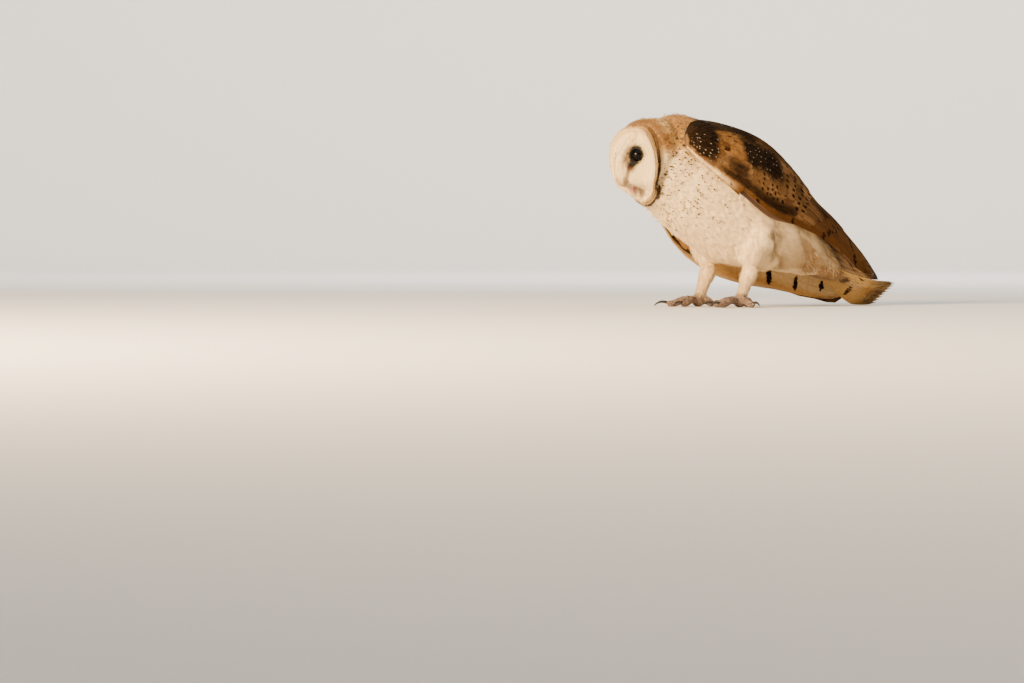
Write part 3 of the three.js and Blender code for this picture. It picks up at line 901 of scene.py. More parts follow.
@dataclass
class Skin:
    """One skin over head, neck, trunk, legs and toes, inside the CAD solids by the coat's depth."""

    plumage: Plumage
    nodes: tuple[str, ...] = (
        "head", "neck", "trunk", "thigh_left", "thigh_right", "shank_left", "shank_right",
        *(f"toe_{toe}_{side}" for toe in ("hallux", "inner", "middle", "outer")
          for side in ("left", "right")),
    )
    swell: float = 0.45  # closes the thin cuts between the solids
    voxel: float = 1.35
    head_depth: float = 2.6
    face_depth: float = 2.0
    body_depth: float = 5.0
    leg_depth: float = 3.0
    toe_depth: float = 0.1
    lid_radius: float = 1.15
    lid_rim: str = "#0B0604"
    easing: int = 60
    lobe_depth: float = 3.0
    bare: int = field(init=False)  # the number of vertices before the lids'
    piece: bpy.types.Object = field(init=False)
    tree: BVHTree = field(init=False)

    def joined(self) -> bpy.types.Object:
        """Copies of the flesh solids, each grown a little, in one mesh."""
        shape = bmesh.new()
        for name in self.nodes:
            part = bmesh.new()
            part.from_mesh(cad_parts[name].data)
            bmesh.ops.remove_doubles(part, verts=part.verts, dist=1e-6)
            bmesh.ops.recalc_face_normals(part, faces=part.faces)
            part.normal_update()
            for vertex in part.verts:
                vertex.co += vertex.normal * self.swell * MM
            pour(part, shape)
        return from_bmesh("skin_source", shape)

    def depth(self, points: Array) -> Array:
        """The coat's depth over each point, in millimetres."""
        z, y = points[..., 2] / MM, points[..., 1] / MM
        side, forward, up = self.plumage.axes(points)
        on_head = step(-50.0, -30.0, forward) * step(1.5, 1.15, self.plumage.head.spread(side, up))
        depth = self.body_depth + (self.head_depth - self.body_depth) * on_head
        depth = depth + (self.face_depth - depth) * self.plumage.face_share(points)
        low = step(60.0, 44.0, z) * step(70.0, 55.0, y)
        depth = depth + (self.leg_depth - depth) * low
        shank = step(44.0, 30.0, z) * low
        depth = depth + (1.4 - depth) * shank
        return depth + (self.toe_depth - depth) * step(15.0, 10.0, z) * step(70.0, 55.0, y)

    def build(self) -> "Skin":
        """Remeshes the joined solids as one skin, smooths it and draws it in under the coat."""
        source = self.joined()
        remesh = source.modifiers.new("one_skin", "REMESH")
        remesh.mode, remesh.voxel_size, remesh.use_smooth_shade = "VOXEL", self.voxel * MM, True
        smooth = source.modifiers.new("soften", "SMOOTH")
        smooth.factor, smooth.iterations = 0.5, 5
        evaluated = source.evaluated_get(bpy.context.evaluated_depsgraph_get())
        mesh = bpy.data.meshes.new_from_object(evaluated)
        bpy.data.objects.remove(source)
        self.ease(mesh)
        place, normal = vertex_arrays(mesh)
        inset = self.depth(place) + self.swell + self.lobe_depth * self.plumage.cleft(place)
        place = place - normal * inset[:, None] * MM
        place[:, 2] = np.maximum(place[:, 2], 0.0)
        mesh.vertices.foreach_set("co", place.ravel())
        self.piece = self.with_lids(mesh)
        mesh = self.piece.data
        place, normal = vertex_arrays(mesh)
        # painted shade: the skin under the coat is a fifth darker than the coat's colour
        tint = self.plumage.colour(place, normal) * 0.8
        tint[self.bare:] = linear(self.lid_rim)
        set_colour(mesh, "tint", tint)
        mesh.materials.append(SkinFinish().build())
        self.tree = search_tree(mesh)
        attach(self.piece, "root")
        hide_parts(*self.nodes)
        LOG.info("skin: %d faces", len(mesh.polygons))
        return self

    def ease(self, mesh: bpy.types.Mesh) -> None:
        """Fills the sharp folds where thighs and neck leave the trunk."""
        place, _ = vertex_arrays(mesh)
        _, y, z = self.plumage.head.plain(place).T
        forward = self.plumage.axes(place)[1]
        thigh = (y > -50.0) & (y < 75.0) & (z > 40.0) & (z < 132.0)
        neck = (y > -100.0) & (y < -55.0) & (forward < -32.0)
        shape = bmesh.new()
        shape.from_mesh(mesh)
        shape.verts.ensure_lookup_table()
        chosen = [shape.verts[i] for i in np.flatnonzero(thigh | neck)]
        for _ in range(self.easing):
            bmesh.ops.smooth_vert(
                shape, verts=chosen, factor=0.5, use_axis_x=True, use_axis_y=True, use_axis_z=True,
            )
        shape.to_mesh(mesh)
        shape.free()

    def with_lids(self, mesh: bpy.types.Mesh) -> bpy.types.Object:
        """Adds a rim of eyelid round each eye and makes the skin's object."""
        self.bare = len(mesh.vertices)
        shape = bmesh.new()
        shape.from_mesh(mesh)
        head = self.plumage.head
        across, forward, up = head.eye
        for side in Side:
            ring = bmesh.new()
            outward = Matrix.Translation((head.eye_radius * 0.93, 0, 0))
            bmesh.ops.create_circle(
                ring, segments=8, radius=self.lid_radius,
                matrix=outward @ Matrix.Rotation(math.pi / 2, 4, "X"),
            )
            bmesh.ops.spin(
                ring, geom=ring.edges[:] + ring.verts[:], cent=(0, 0, 0), axis=(0, 0, 1),
                angle=2 * math.pi, steps=28, use_merge=True,
            )
            gaze = Matrix.Rotation(side.value * math.radians(24.0), 3, "Z")
            for vertex in ring.verts:
                x, z, front = vertex.co
                raised = Vector((x * 0.98, -front - head.eye_radius * 0.36, z * 1.06))
                x, y, z = gaze @ raised
                local = np.array([side.value * across + x, forward - y, up + z])
                vertex.co = Vector(head.point(local))
            bmesh.ops.recalc_face_normals(ring, faces=ring.faces)
            pour(ring, shape)
        made = bpy.data.meshes.new("skin")
        shape.to_mesh(made)
        shape.free()
        made.polygons.foreach_set("use_smooth", [True] * len(made.polygons))
        return new_object("skin", made)

    def nearest(self, points: Array) -> tuple[Array, Array]:
        """The closest places of the skin and their normals."""
        found = [self.tree.find_nearest(point) for point in points.tolist()]
        return np.array([hit[0] for hit in found]), np.array([hit[1] for hit in found])

    def roots(self, spacing: float, seed: int, keep: Field) -> tuple[Array, Array]:
        """Evenly strewn places on the skin.

        Args:
            spacing: millimetres between neighbours.
            seed: which draw.
            keep: says of places and normals which to keep.

        Returns:
            Places in metres and normals.
        """
        mesh = self.piece.data
        mesh.calc_loop_triangles()
        corner = np.empty(len(mesh.loop_triangles) * 3, np.int32)
        mesh.loop_triangles.foreach_get("vertices", corner)
        place, normal = vertex_arrays(mesh)
        corner = corner.reshape(-1, 3)
        a, b, c = (place[corner[:, i]] for i in range(3))
        area = np.linalg.norm(np.cross(b - a, c - a), axis=1) / 2
        draw = np.random.default_rng(seed)
        wanted = int(9.0 * area.sum() / (spacing * MM) ** 2)
        pick = draw.choice(len(corner), wanted, p=area / area.sum())
        first, second = draw.random(wanted), draw.random(wanted)
        flip = first + second > 1
        first, second = np.where(flip, 1 - first, first), np.where(flip, 1 - second, second)
        weights = np.stack([1 - first - second, first, second], axis=1)[..., None]
        points = (place[corner[pick]] * weights).sum(axis=1)
        normals = unit((normal[corner[pick]] * weights).sum(axis=1))
        kept = keep(points, normals)
        points, normals = points[kept], normals[kept]
        cells = np.floor(points / (spacing * MM)).astype(np.int64)
        key = cells[:, 0] * 4000003 + cells[:, 1] * 4001 + cells[:, 2]
        _, chosen = np.unique(key, return_index=True)
        chosen.sort()
        return points[chosen], normals[chosen]


# ---- feathers as arrays ---------------------------------------------------------------------

@dataclass
class Template:
    """One feather's mesh: how far along and across it each vertex lies, its strip and its faces."""

    along: Array
    across: Array
    strip: Array
    faces: Array

    @classmethod
    def tuft(cls, strips: int, rows: int, fan: float = 1.0, slim: float = 0.8) -> "Template":
        """A fan of tapering strips of barbs.

        Args:
            strips: how many strips.
            rows: how many faces along each strip.
            fan: how far the outer strips spread.
            slim: how wide each strip is against its share of the width.

        Returns:
            The template.
        """
        shape = bmesh.new()
        for index in range(strips):
            bmesh.ops.create_grid(
                shape, x_segments=1, y_segments=rows, size=0.5,
                matrix=Matrix.Translation((index * 2.0, 0.0, 0.0)),
            )
        ends = [f for f in shape.faces if max(v.co.y for v in f.verts) > 0.499]
        bmesh.ops.triangulate(shape, faces=ends)
        shape.verts.index_update()
        co = np.array([v.co[:] for v in shape.verts])
        strip = np.round(co[:, 0] / 2.0).astype(int)
        edge = np.sign(co[:, 0] - 2.0 * strip)
        along = co[:, 1] + 0.5
        middle = (2.0 * strip / max(strips - 1, 1) - 1.0) if strips > 1 else np.zeros(len(co))
        width = slim / strips * np.minimum(1.0, 2.2 * (1.0 - along))
        width = width * np.minimum(1.0, 0.55 + 1.5 * along)
        width = np.maximum(width, 0.04 / strips)
        spread = middle * fan * (0.25 + 0.75 * along**0.8)
        reach = along * (1.0 - 0.24 * middle**2)
        faces = [[v.index for v in f.verts] for f in shape.faces]
        shape.free()
        return cls(reach, spread + edge * width, strip, cls.split(faces))

    @classmethod
    def vane(cls, columns: int, rows: int, tip: float = 0.35, base: float = 0.3) -> "Template":
        """One closed vane with a rounded tip.

        Args:
            columns: faces across.
            rows: faces along.
            tip: the share of the length over which the tip is rounded.
            base: the width at the root, as a share of the greatest.

        Returns:
            The template.
        """
        shape = bmesh.new()
        bmesh.ops.create_grid(shape, x_segments=columns, y_segments=rows, size=0.5)
        shape.verts.index_update()
        co = np.array([v.co[:] for v in shape.verts])
        along, side = co[:, 1] + 0.5, co[:, 0] * 2.0
        past = np.maximum(0.0, along - (1 - tip)) / tip
        rounded = np.sqrt(np.clip(1.0 - past**2.2, 0.0, 1.0))
        profile = np.maximum(rounded, 0.12) * (base + (1 - base) * step(0.0, 0.4, along))
        reach = along - 0.06 * (side**2) * step(0.75, 1.0, along)
        faces = [[v.index for v in f.verts] for f in shape.faces]
        shape.free()
        return cls(reach, side * profile, np.zeros(len(co), int), cls.split(faces))

    @staticmethod
    def split(faces: Iterable[Sequence[int]]) -> Array:
        """The faces as triangles."""
        made = []
        for face in faces:
            made.extend([face[0], face[i], face[i + 1]] for i in range(1, len(face) - 1))
        return np.array(made, np.int32)


def along_path(path: Array, reach: Array) -> tuple[Array, Array, Array]:
    """Where the vertices of feathers lie between the stations of their paths.

    Args:
        path: (feathers, stations, 3) places or normals.
        reach: (feathers, vertices) how many stations along each vertex lies.

    Returns:
        The blended values, and those of the station before and after each vertex.
    """
    first = np.minimum(reach.astype(int), path.shape[1] - 2)
    part = (reach - first)[..., None]
    row = np.arange(len(path))[:, None]
    before, after = path[row, first], path[row, first + 1]
    return before * (1 - part) + after * part, before, after


@dataclass
class Feathers:
    """Many like feathers, gathered before they are joined in one piece."""

    template: Template
    place: list[Array] = field(default_factory=list)
    layers: dict[str, list[Array]] = field(default_factory=dict)

    def add(self, place: Array, root_uv: Array, patch: Array | float, **layers: Array) -> None:
        """Adds feathers.

        Args:
            place: (feathers, vertices, 3) positions in metres.
            root_uv: (feathers, 2) place of each feather's patch.
            patch: the patch's size across and along.
            layers: attributes by name, one row for each feather and vertex.
        """
        self.place.append(place)
        shape = self.template
        local = np.stack([0.5 + 0.5 * np.clip(shape.across, -1, 1), shape.along], axis=-1)
        self.layers.setdefault("OFBake", []).append(
            root_uv[:, None, :] + (local - 0.5)[None] * np.asarray(patch)
        )
        self.layers.setdefault("vane", []).append(np.broadcast_to(local, (*place.shape[:2], 2)))
        for name, values in layers.items():
            full = np.broadcast_to(values, (*place.shape[:2], values.shape[-1]))
            self.layers.setdefault(name, []).append(full)

    def weave(
        self, name: str, material: bpy.types.Material, slot: str, replaces: Sequence[str] = ()
    ) -> bpy.types.Object:
        """Joins the gathered feathers as one piece.

        Args:
            name: the piece's name.
            material: its finish.
            slot: not used.
            replaces: the CAD nodes that it stands for.

        Returns:
            The piece.
        """
        place = np.concatenate(self.place)
        count, size = place.shape[:2]
        faces = self.template.faces[None] + (np.arange(count) * size)[:, None, None]
        faces = faces.reshape(-1, 3)
        mesh = bpy.data.meshes.new(name)
        mesh.vertices.add(count * size)
        mesh.vertices.foreach_set("co", place.astype(np.float32).ravel())
        mesh.loops.add(faces.size)
        mesh.loops.foreach_set("vertex_index", faces.astype(np.int32).ravel())
        mesh.polygons.add(len(faces))
        mesh.polygons.foreach_set("loop_start", np.arange(0, faces.size, 3, dtype=np.int32))
        mesh.polygons.foreach_set("use_smooth", np.ones(len(faces), bool))
        mesh.update(calc_edges=True)
        for layer, parts in self.layers.items():
            values = np.concatenate(parts).reshape(count * size, -1)
            if layer in ("OFBake", "vane"):
                set_uv(mesh, layer, values)
            elif layer in ("tint", "dark"):
                set_colour(mesh, layer, values)
            else:
                set_vector(mesh, layer, values)
        mesh.materials.append(material)
        piece = new_object(name, mesh)
        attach(piece, "root")
        if replaces:
            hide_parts(*replaces)
        LOG.info("%s: %d feathers, %d triangles", name, count, len(faces))
        return piece


@dataclass(frozen=True)
class TuftStyle:
    """How one region's tufts grow: sizes in millimetres, angles in degrees."""

    spacing: float
    length: float
    width: float
    strips: int = 5
    rows: int = 2
    fan: float = 1.0
    slim: float = 0.95
    root_lift: float = 0.1
    tip_lift: float = 1.0  # against the coat's depth
    spread_angle: float = 8.0
    wander_angle: float = 10.0
    ragged: float = 0.16
    tone: float = 0.10
    sink: float = 0.25


@dataclass
class Coat:
    """Grows tufts on the skin, lying the way a field of directions says."""

    skin: Skin
    plumage: Plumage
    material: bpy.types.Material

    def walk(
        self, roots: Array, normals: Array, heading: Array, length: Array, rows: int
    ) -> tuple[Array, Array]:
        """Follows the skin from each root.

        Args:
            roots: the starting places.
            normals: the skin's normals there.
            heading: unit directions to set out in.
            length: metres to go.
            rows: how many steps.

        Returns:
            Places and normals at the root and after each step.
        """
        places, ways = [roots], [normals]
        here, up, go = roots, normals, heading
        for _ in range(rows):
            ahead = here + go * (length / rows)[:, None]
            there, up = self.skin.nearest(ahead)
            go = across_to(there - here, up)
            here = there
            places.append(here)
            ways.append(up)
        return np.stack(places, axis=1), np.stack(ways, axis=1)

    def unwrap(self, points: Array) -> Array:
        """Places on a sleeve round the body, from 0 to 1 over these points."""
        x, y, z = self.plumage.head.plain(points).T
        middle = np.interp(y, [-150.0, -60.0, 40.0, 160.0], [142.0, 140.0, 95.0, 32.0])
        angle = np.arctan2(x, z - middle)
        flat = np.stack([angle, y + 0.15 * z], axis=-1)
        low, high = flat.min(axis=0), flat.max(axis=0)
        return 0.01 + 0.98 * (flat - low) / np.maximum(high - low, 1e-9)

    def grow(
        self, name: str, slot: str, style: TuftStyle, seed: int, keep: Field, lie: Field,
        size: Field | None = None, colour: Field | None = None, crisp: bool = False,
    ) -> bpy.types.Object:
        """Covers a region of the skin.

        Args:
            name: the piece's name.
            slot: a name handed on to the weave.
            style: how the tufts grow.
            seed: which random draw.
            keep: says which roots belong to the region.
            lie: the direction in which the feathers lie.
            size: a factor on length and width at each root.
            colour: colours for the tufts, or the plumage's own.
            crisp: the markings run through the tufts, and not tuft by tuft.

        Returns:
            The piece.
        """
        roots, normals = self.skin.roots(style.spacing, seed, keep)
        draw = np.random.default_rng(seed + 1000)
        count = len(roots)
        heading = across_to(lie(roots, normals), normals)
        angle = math.radians(style.spread_angle) * draw.standard_normal(count)
        angle += math.radians(style.wander_angle) * 2.0 * (cloud(roots, 16.0, seed) - 0.5)
        heading = turn_about(normals, heading, angle)
        factor = np.ones(count) if size is None else size(roots, normals)
        length = style.length * factor * vary(draw, 0.12, count) * MM
        width = style.width * factor * vary(draw, 0.10, count) * MM
        path, up = self.walk(roots, normals, heading, length, style.rows)
        template = Template.tuft(style.strips, style.rows, style.fan, style.slim)
        jitter = 1.0 + style.ragged * draw.uniform(-1, 1, (count, style.strips))
        along = np.clip(template.along[None] * jitter[:, template.strip], 0.0, 1.0)
        centre, before, after = along_path(path, along * style.rows)
        normal = unit(along_path(up, along * style.rows)[0])
        side = np.cross(unit(after - before), normal)
        depth = self.skin.depth(roots) * MM * vary(draw, 0.14, count)
        rise = style.root_lift - style.sink * (along == 0)
        rise = rise + (style.tip_lift - style.root_lift) * along**0.75
        sway = 0.16 * draw.uniform(-1, 1, (count, style.strips))[:, template.strip] * along
        offset = (template.across[None] + sway) * (width / 2)[:, None]
        cup = -0.10 * (template.across**2)[None] * width[:, None]
        height = depth[:, None] * rise + cup
        place = centre + side * offset[..., None] + normal * height[..., None]
        place[..., 2] = np.maximum(place[..., 2], FLOOR_GAP)
        shade = vary(draw, style.tone, count)
        strand = draw.uniform(-1, 1, (count, style.strips))[:, template.strip]
        strand = 1.0 + 0.6 * style.tone * strand
        deep = 0.72 + 0.28 * step(0.0, 0.6, along)
        if crisp:
            base = self.plumage.colour(place, normal)
        else:
            base = (colour or self.plumage.colour)(roots, normals)[:, None, :]
        tint = base * (shade[:, None] * strand * deep)[..., None]
        flock = Feathers(template)
        flock.add(place, self.unwrap(roots), TUFT_PATCH, tint=np.clip(tint, 0.0, 1.0))
        return flock.weave(name, self.material, slot)


@dataclass(frozen=True)
class LegShape:
    """One leg's joints in the CAD's millimetres, and its toes' headings and lengths."""

    side: Side
    foot: tuple[float, float]
    outward: float
    hip: tuple[float, float] = (38.0, 86.0)
    heel_back: float = 16.0
    hip_back: float = 26.0
    heel_height: float = 46.0
    toes: tuple[tuple[str, float, float], ...] = (
        ("hallux", 196.0, 18.0), ("inner", -26.0, 29.0), ("middle", 8.0, 35.0),
        ("outer", 78.0, 28.0),
    )

    def joints(self) -> Array:
        """Hip, heel and ankle, before the shift."""
        x, y = self.foot
        return np.array([
            [self.side.value * self.hip[0], y + self.hip_back, self.hip[1]],
            [x, y + self.heel_back, self.heel_height], [x, y, 7.0],
        ])

    def bearing(self, heading: float) -> Array:
        """The direction on the floor of a toe's heading."""
        angle = math.radians(heading + self.outward) * self.side.value
        return np.array([math.sin(angle), -math.cos(angle), 0.0])


LEGS = (
    LegShape(Side.LEFT, (28.0, 2.0), 10.0),
    LegShape(Side.RIGHT, (-28.0, -13.0), 6.0),
)


@dataclass
class BodyPlumage:
    """The coat of small feathers from face to toes."""

    skin: Skin
    plumage: Plumage
    coat: Coat = field(init=False)
    wings: list[BVHTree] = field(init=False)
    eye_clear: float = 8.0
    wing_reach: float = 9.0

    def __post_init__(self) -> None:
        """Makes the soft finish and the wings' search trees."""
        self.coat = Coat(self.skin, self.plumage, DownFinish().build())
        self.wings = [
            search_tree(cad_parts[name].data) for name in ("wing_left", "wing_right")
        ]

    def leg_share(self, points: Array) -> Array:
        """How near each point is to a leg, from 0 to 1."""
        place = self.plumage.head.plain(points)
        share = np.zeros(len(points))
        for leg in LEGS:
            hip, heel, _ = leg.joints()
            along = np.clip(((place - hip) @ (heel - hip)) / np.sum((heel - hip) ** 2), 0.0, 1.0)
            away = np.linalg.norm(place - hip - along[:, None] * (heel - hip), axis=1)
            reach = 24.0 - 9.0 * along
            share = np.maximum(share, step(reach + 6.0, reach - 2.0, away) * step(0.05, 0.4, along))
        low = step(50.0, 42.0, place[:, 2]) * step(50.0, 40.0, place[:, 1])
        return np.maximum(share, low)

    def lie(self, points: Array, normals: Array) -> Array:
        """Feathers run from the bill back over the body, and down the legs."""
        y = self.plumage.head.plain(points)[:, 1]
        fall = np.interp(
            y, [-150.0, -100.0, -70.0, -30.0, 60.0, 140.0], [0.10, 0.0, -0.25, -0.5, -0.6, -0.6],
        )
        way = np.stack([np.zeros_like(y), np.ones_like(y), fall], axis=1)
        leg = np.array([0.0, -0.15, -1.0])
        return unit(mix(unit(way), leg, self.leg_share(points)))

    def face_lie(self, points: Array, normals: Array) -> Array:
        """Feathers of the disc run outward from each eye, and down the ridge to the bill."""
        side, _, up = self.plumage.axes(points)
        eye_side, _, eye_up = self.plumage.head.eye
        sign = np.where(side < 0, -1.0, 1.0)
        out = np.stack([(np.abs(side) - eye_side) * sign, np.zeros_like(side), up - eye_up], axis=1)
        ridge = np.stack([0.25 * sign, 0.35 * np.ones_like(side), -np.ones_like(side)], axis=1)
        brow = np.stack([0.6 * sign, np.zeros_like(side), np.ones_like(side)], axis=1)
        middle = step(12.0, 5.0, np.abs(side))
        inner = mix(ridge, brow, step(10.0, 24.0, up))
        return self.plumage.head.direction(mix(unit(out), unit(inner), middle))

    def covered(self, points: Array, normals: Array) -> Array:
        """Which places lie under a folded wing, with their feathers' tips."""
        ahead = points + across_to(self.lie(points, normals), normals) * 10.0 * MM
        hidden = np.ones(len(points), bool)
        for starts in (points, ahead):
            hit = np.zeros(len(points), bool)
            for tree in self.wings:
                hit |= np.array([
                    tree.ray_cast(p, n, self.wing_reach * MM)[0] is not None
                    for p, n in zip(starts.tolist(), normals.tolist())
                ])
            hidden &= hit
        place = self.plumage.head.plain(points)
        edge = np.interp(place[:, 1], [-60.0, 20.0, 100.0], [150.0, 96.0, 74.0])
        return hidden & (place[:, 2] > edge)

    def zones(self, points: Array) -> dict[str, Array]:
        """Which region each root belongs to."""
        place = self.plumage.head.plain(points)
        y, z = place[:, 1], place[:, 2]
        face = self.plumage.face_share(points) > 0.5
        toes = (z < 12.0) & (y < 60.0)
        shanks = (z < 43.0) & (y < 45.0) & ~toes
        thighs = (self.leg_share(points) > 0.5) & ~shanks & ~toes
        rest = ~(face | toes | shanks | thighs)
        head = rest & (y < -74.0)
        tail_end = rest & (y > 62.0)
        middle = rest & ~head & ~tail_end
        return {
            "face": face, "toes": toes, "shanks": shanks, "thighs": thighs, "head": head,
            "breast": middle & (y < -18.0), "belly": middle & (y >= -18.0), "vent": tail_end,
        }

    def only(self, *names: str, under_wings: bool = False) -> Field:
        """A test for roots of the named regions, outside eyes and bill and clear of the wings."""
        def keep(points: Array, normals: Array) -> Array:
            """Says which roots to keep."""
            zones = self.zones(points)
            kept = np.any([zones[name] for name in names], axis=0)
            side, forward, up = self.plumage.axes(points)
            eye_side, eye_forward, eye_up = self.plumage.head.eye
            away = np.sqrt(
                (np.abs(side) - eye_side) ** 2 + (up - eye_up) ** 2
                + np.maximum(0.0, eye_forward - 2.0 - forward) ** 2
            )
            at_bill = (np.abs(side) < 5.2) & (up < -15.0) & (up > -40.0) & (forward > 2.0)
            deep = self.plumage.head.face_forward(side, up) - forward
            spread = self.plumage.head.spread(side, up)
            under_ruff = (spread > 0.97) & (spread < 1.07) & (up < 6.0)
            under_ruff &= (deep > 1.0) & (deep < 5.0)
            kept &= (away > self.eye_clear) & ~at_bill & ~under_ruff
            if not under_wings:
                index = np.flatnonzero(kept)
                kept[index[self.covered(points[index], normals[index])]] = False
            return kept
        return keep

    def build(self) -> None:
        """Grows every region."""
        plumage, coat = self.plumage, self.coat

        def head_size(points: Array, normals: Array) -> Array:
            """Smaller at the brow and cheek, longer on the nape."""
            forward = plumage.axes(points)[1]
            return np.interp(forward, [-60.0, -35.0, -8.0, 4.0], [1.35, 1.1, 0.8, 0.62])

        def face_size(points: Array, normals: Array) -> Array:
            """Shortest round the eye and longest at the rim."""
            side, _, up = plumage.axes(points)
            eye_side, _, eye_up = plumage.head.eye
            away = np.hypot(np.abs(side) - eye_side, up - eye_up)
            return np.interp(away, [7.0, 12.0, 26.0], [0.36, 0.75, 1.1])

        def vent_size(points: Array, normals: Array) -> Array:
            """Long loose feathers below, shorter towards the tail's end."""
            y = plumage.head.plain(points)[:, 1]
            return np.interp(y, [60.0, 95.0, 130.0], [1.0, 1.4, 1.9])

        def shank_size(points: Array, normals: Array) -> Array:
            """Longest under the thigh, short at the ankle."""
            z = plumage.head.plain(points)[:, 2]
            return np.interp(z, [12.0, 24.0, 43.0], [0.55, 0.95, 2.0])

        regions = (
            ("face", "head_plumage", face_size, TuftStyle(
                1.05, 6.2, 2.3, 3, fan=0.9, tip_lift=0.75, spread_angle=7, tone=0.05)),
            ("head", "head_plumage", head_size, TuftStyle(1.75, 8.5, 4.2, tone=0.08)),
            ("breast", "neck_plumage", None, TuftStyle(2.15, 12.5, 5.6, 6, 3, tone=0.06)),
            ("belly", "body_plumage", None, TuftStyle(2.4, 15.0, 6.4, 6, 3, tone=0.05)),
            ("vent", "body_plumage", vent_size, TuftStyle(
                2.5, 17.0, 7.0, 6, 3, tip_lift=1.05, tone=0.05, spread_angle=11)),
            ("thighs", "leg_plumage", None, TuftStyle(
                2.1, 14.0, 5.6, 5, 3, tip_lift=1.25, tone=0.05, spread_angle=10)),
            ("shanks", "leg_plumage", shank_size, TuftStyle(
                1.3, 6.4, 2.6, 4, 3, tip_lift=1.5, tone=0.09)),
        )
        for seed, (region, slot, size, style) in enumerate(regions, 11):
            on_face = region == "face"
            keep = self.only(region, under_wings=on_face or region == "shanks")
            lie = self.face_lie if on_face else self.lie
            coat.grow(f"plumage_{region}", slot, style, seed, keep, lie, size, crisp=on_face)
        coat.grow(
            "toe_bristles", "toe_skin",
            TuftStyle(2.2, 3.4, 1.0, 2, tone=0.15, sink=0.0, root_lift=0.0),
            18, self.only("toes", under_wings=True), self.toe_lie,
            size=lambda p, n: np.where(n[:, 2] > 0.2, 1.0, 0.4),
            colour=lambda p, n: np.broadcast_to(linear(plumage.bristle), p.shape),
        )
        coat.grow(
            "plumage_ridge", "head_plumage",
            TuftStyle(1.5, 8.0, 2.6, 3, 3, fan=0.9, tip_lift=1.7, spread_angle=9, tone=0.05),
            19, self.ridge, self.face_lie, crisp=True,
        )
        self.ruff()
        self.specks()

    def ridge(self, points: Array, normals: Array) -> Array:
        """Roots on the crest between the eyes, down to the tuft that overhangs the bill."""
        side, _, up = self.plumage.axes(points)
        on_face = self.plumage.face_share(points) > 0.5
        return on_face & (np.abs(side) < 5.0) & (up > -19.0) & (up < 30.0)

    def specks(self, spacing: float = 3.6, long: float = 2.1, wide: float = 1.7) -> None:
        """Lays the small dark feather tips that fleck neck and breast, on top of the coat."""
        keep = self.only("head", "breast", "belly", "thighs")
        roots, normals = self.skin.roots(spacing, 51, keep)
        draw = np.random.default_rng(52)
        kept = draw.random(len(roots)) < self.plumage.speck_chance(roots)
        roots, normals = roots[kept], normals[kept]
        count = len(roots)
        go = across_to(self.lie(roots, normals), normals)
        side = np.cross(go, normals)
        size = draw.uniform(0.6, 1.1, (count, 1, 1)) * MM
        template = Template.vane(2, 3, tip=0.6, base=0.5)
        along, across = template.along[None, :, None], template.across[None, :, None]
        lift = self.skin.depth(roots)[:, None, None] * 1.1 * MM
        place = roots[:, None] + go[:, None] * (along - 0.5) * long * size
        place = place + side[:, None] * across * wide / 2 * size
        place = place + normals[:, None] * (lift + (0.35 - 0.3 * across**2) * MM)
        flock = Feathers(template)
        shade = draw.uniform(0.6, 1.5, (count, 1, 1)) * linear(self.plumage.speck)
        flock.add(place, self.coat.unwrap(roots), TUFT_PATCH, tint=shade)
        flock.weave("plumage_specks", self.coat.material, "neck_plumage")

    def toe_lie(self, points: Array, normals: Array) -> Array:
        """Bristles run from the ankle out along the toes."""
        place = self.plumage.head.plain(points)
        ankles = np.array([leg.joints()[2] for leg in LEGS])
        nearest = ankles[np.argmin([np.linalg.norm(place - a, axis=1) for a in ankles], axis=0)]
        return unit((place - nearest) * np.array([1.0, 1.0, 0.0]) + np.array([0.0, 0.0, 0.2]))

    def ruff(self) -> None:
        """Stiff feathers round the disc: a pale inner row, and dark-tipped rows behind it, darker
        towards the chin with painted shade of the groove.
        """
        plumage, head = self.plumage, self.plumage.head
        template = Template.tuft(3, 3, 0.9, 0.95)
        flock = Feathers(template)
        draw = np.random.default_rng(31)
        # spread on the rim, millimetres back, length, lean forward at root and tip, how many
        rows = (
            (0.88, 0.5, 6.4, 0.80, 0.30, 520), (0.94, 0.6, 5.6, 0.70, 0.20, 560),
            (1.00, 1.8, 5.2, 0.55, 0.10, 640), (1.01, 3.2, 4.9, 0.40, 0.00, 640),
            (1.01, 5.0, 5.0, 0.30, -0.10, 640),
        )
        for index, (spread, back, length, lean, tip_lean, count) in enumerate(rows):
            angle = (np.arange(count) + draw.uniform(-0.4, 0.4, count)) * 2 * math.pi / count
            side, up = head.rim(angle)
            ahead = head.rim(angle + 0.01)
            around = unit(np.stack([ahead[0] - side, ahead[1] - up], axis=1))
            outward = np.stack([-around[:, 1], around[:, 0]], axis=1)
            outward *= np.sign(np.sum(outward * np.stack([side, up], axis=1), axis=1))[:, None]
            forward = head.face_forward(side, up) + 1.6 - back
            start = head.point(np.stack([side * spread, forward, up * spread], axis=1))
            root, _ = self.skin.nearest(start)
            out = np.stack([outward[:, 0], np.zeros(count), outward[:, 1]], axis=1)
            flat = np.stack([around[:, 0], np.zeros(count), around[:, 1]], axis=1)
            out += 0.14 * draw.standard_normal((count, 1)) * flat
            ahead_way = np.array([0.0, 1.0, 0.0])
            path = [root]
            size = length * (1 + 0.1 * draw.standard_normal(count)) * MM
            if index > 2:
                size = size * (0.75 + 0.4 * step(18.0, -18.0, up))
            for row in range(3):
                bend = lean + (tip_lean - lean) * (row + 0.5) / 3
                way = unit(head.direction(out + bend * ahead_way))
                path.append(path[-1] + way * (size / 3)[:, None])
            path = np.stack(path, axis=1)
            reach = np.broadcast_to(template.along * 3, (count, len(template.along)))
            centre, _, _ = along_path(path, reach)
            sideways = head.direction(flat)
            place = centre + sideways[:, None, :] * (template.across * 1.25 * MM)[None, :, None]
            # the rows behind the rim darken towards the chin: dark tips with painted shade of the
            # groove
            low = step(24.0, 2.0, up)
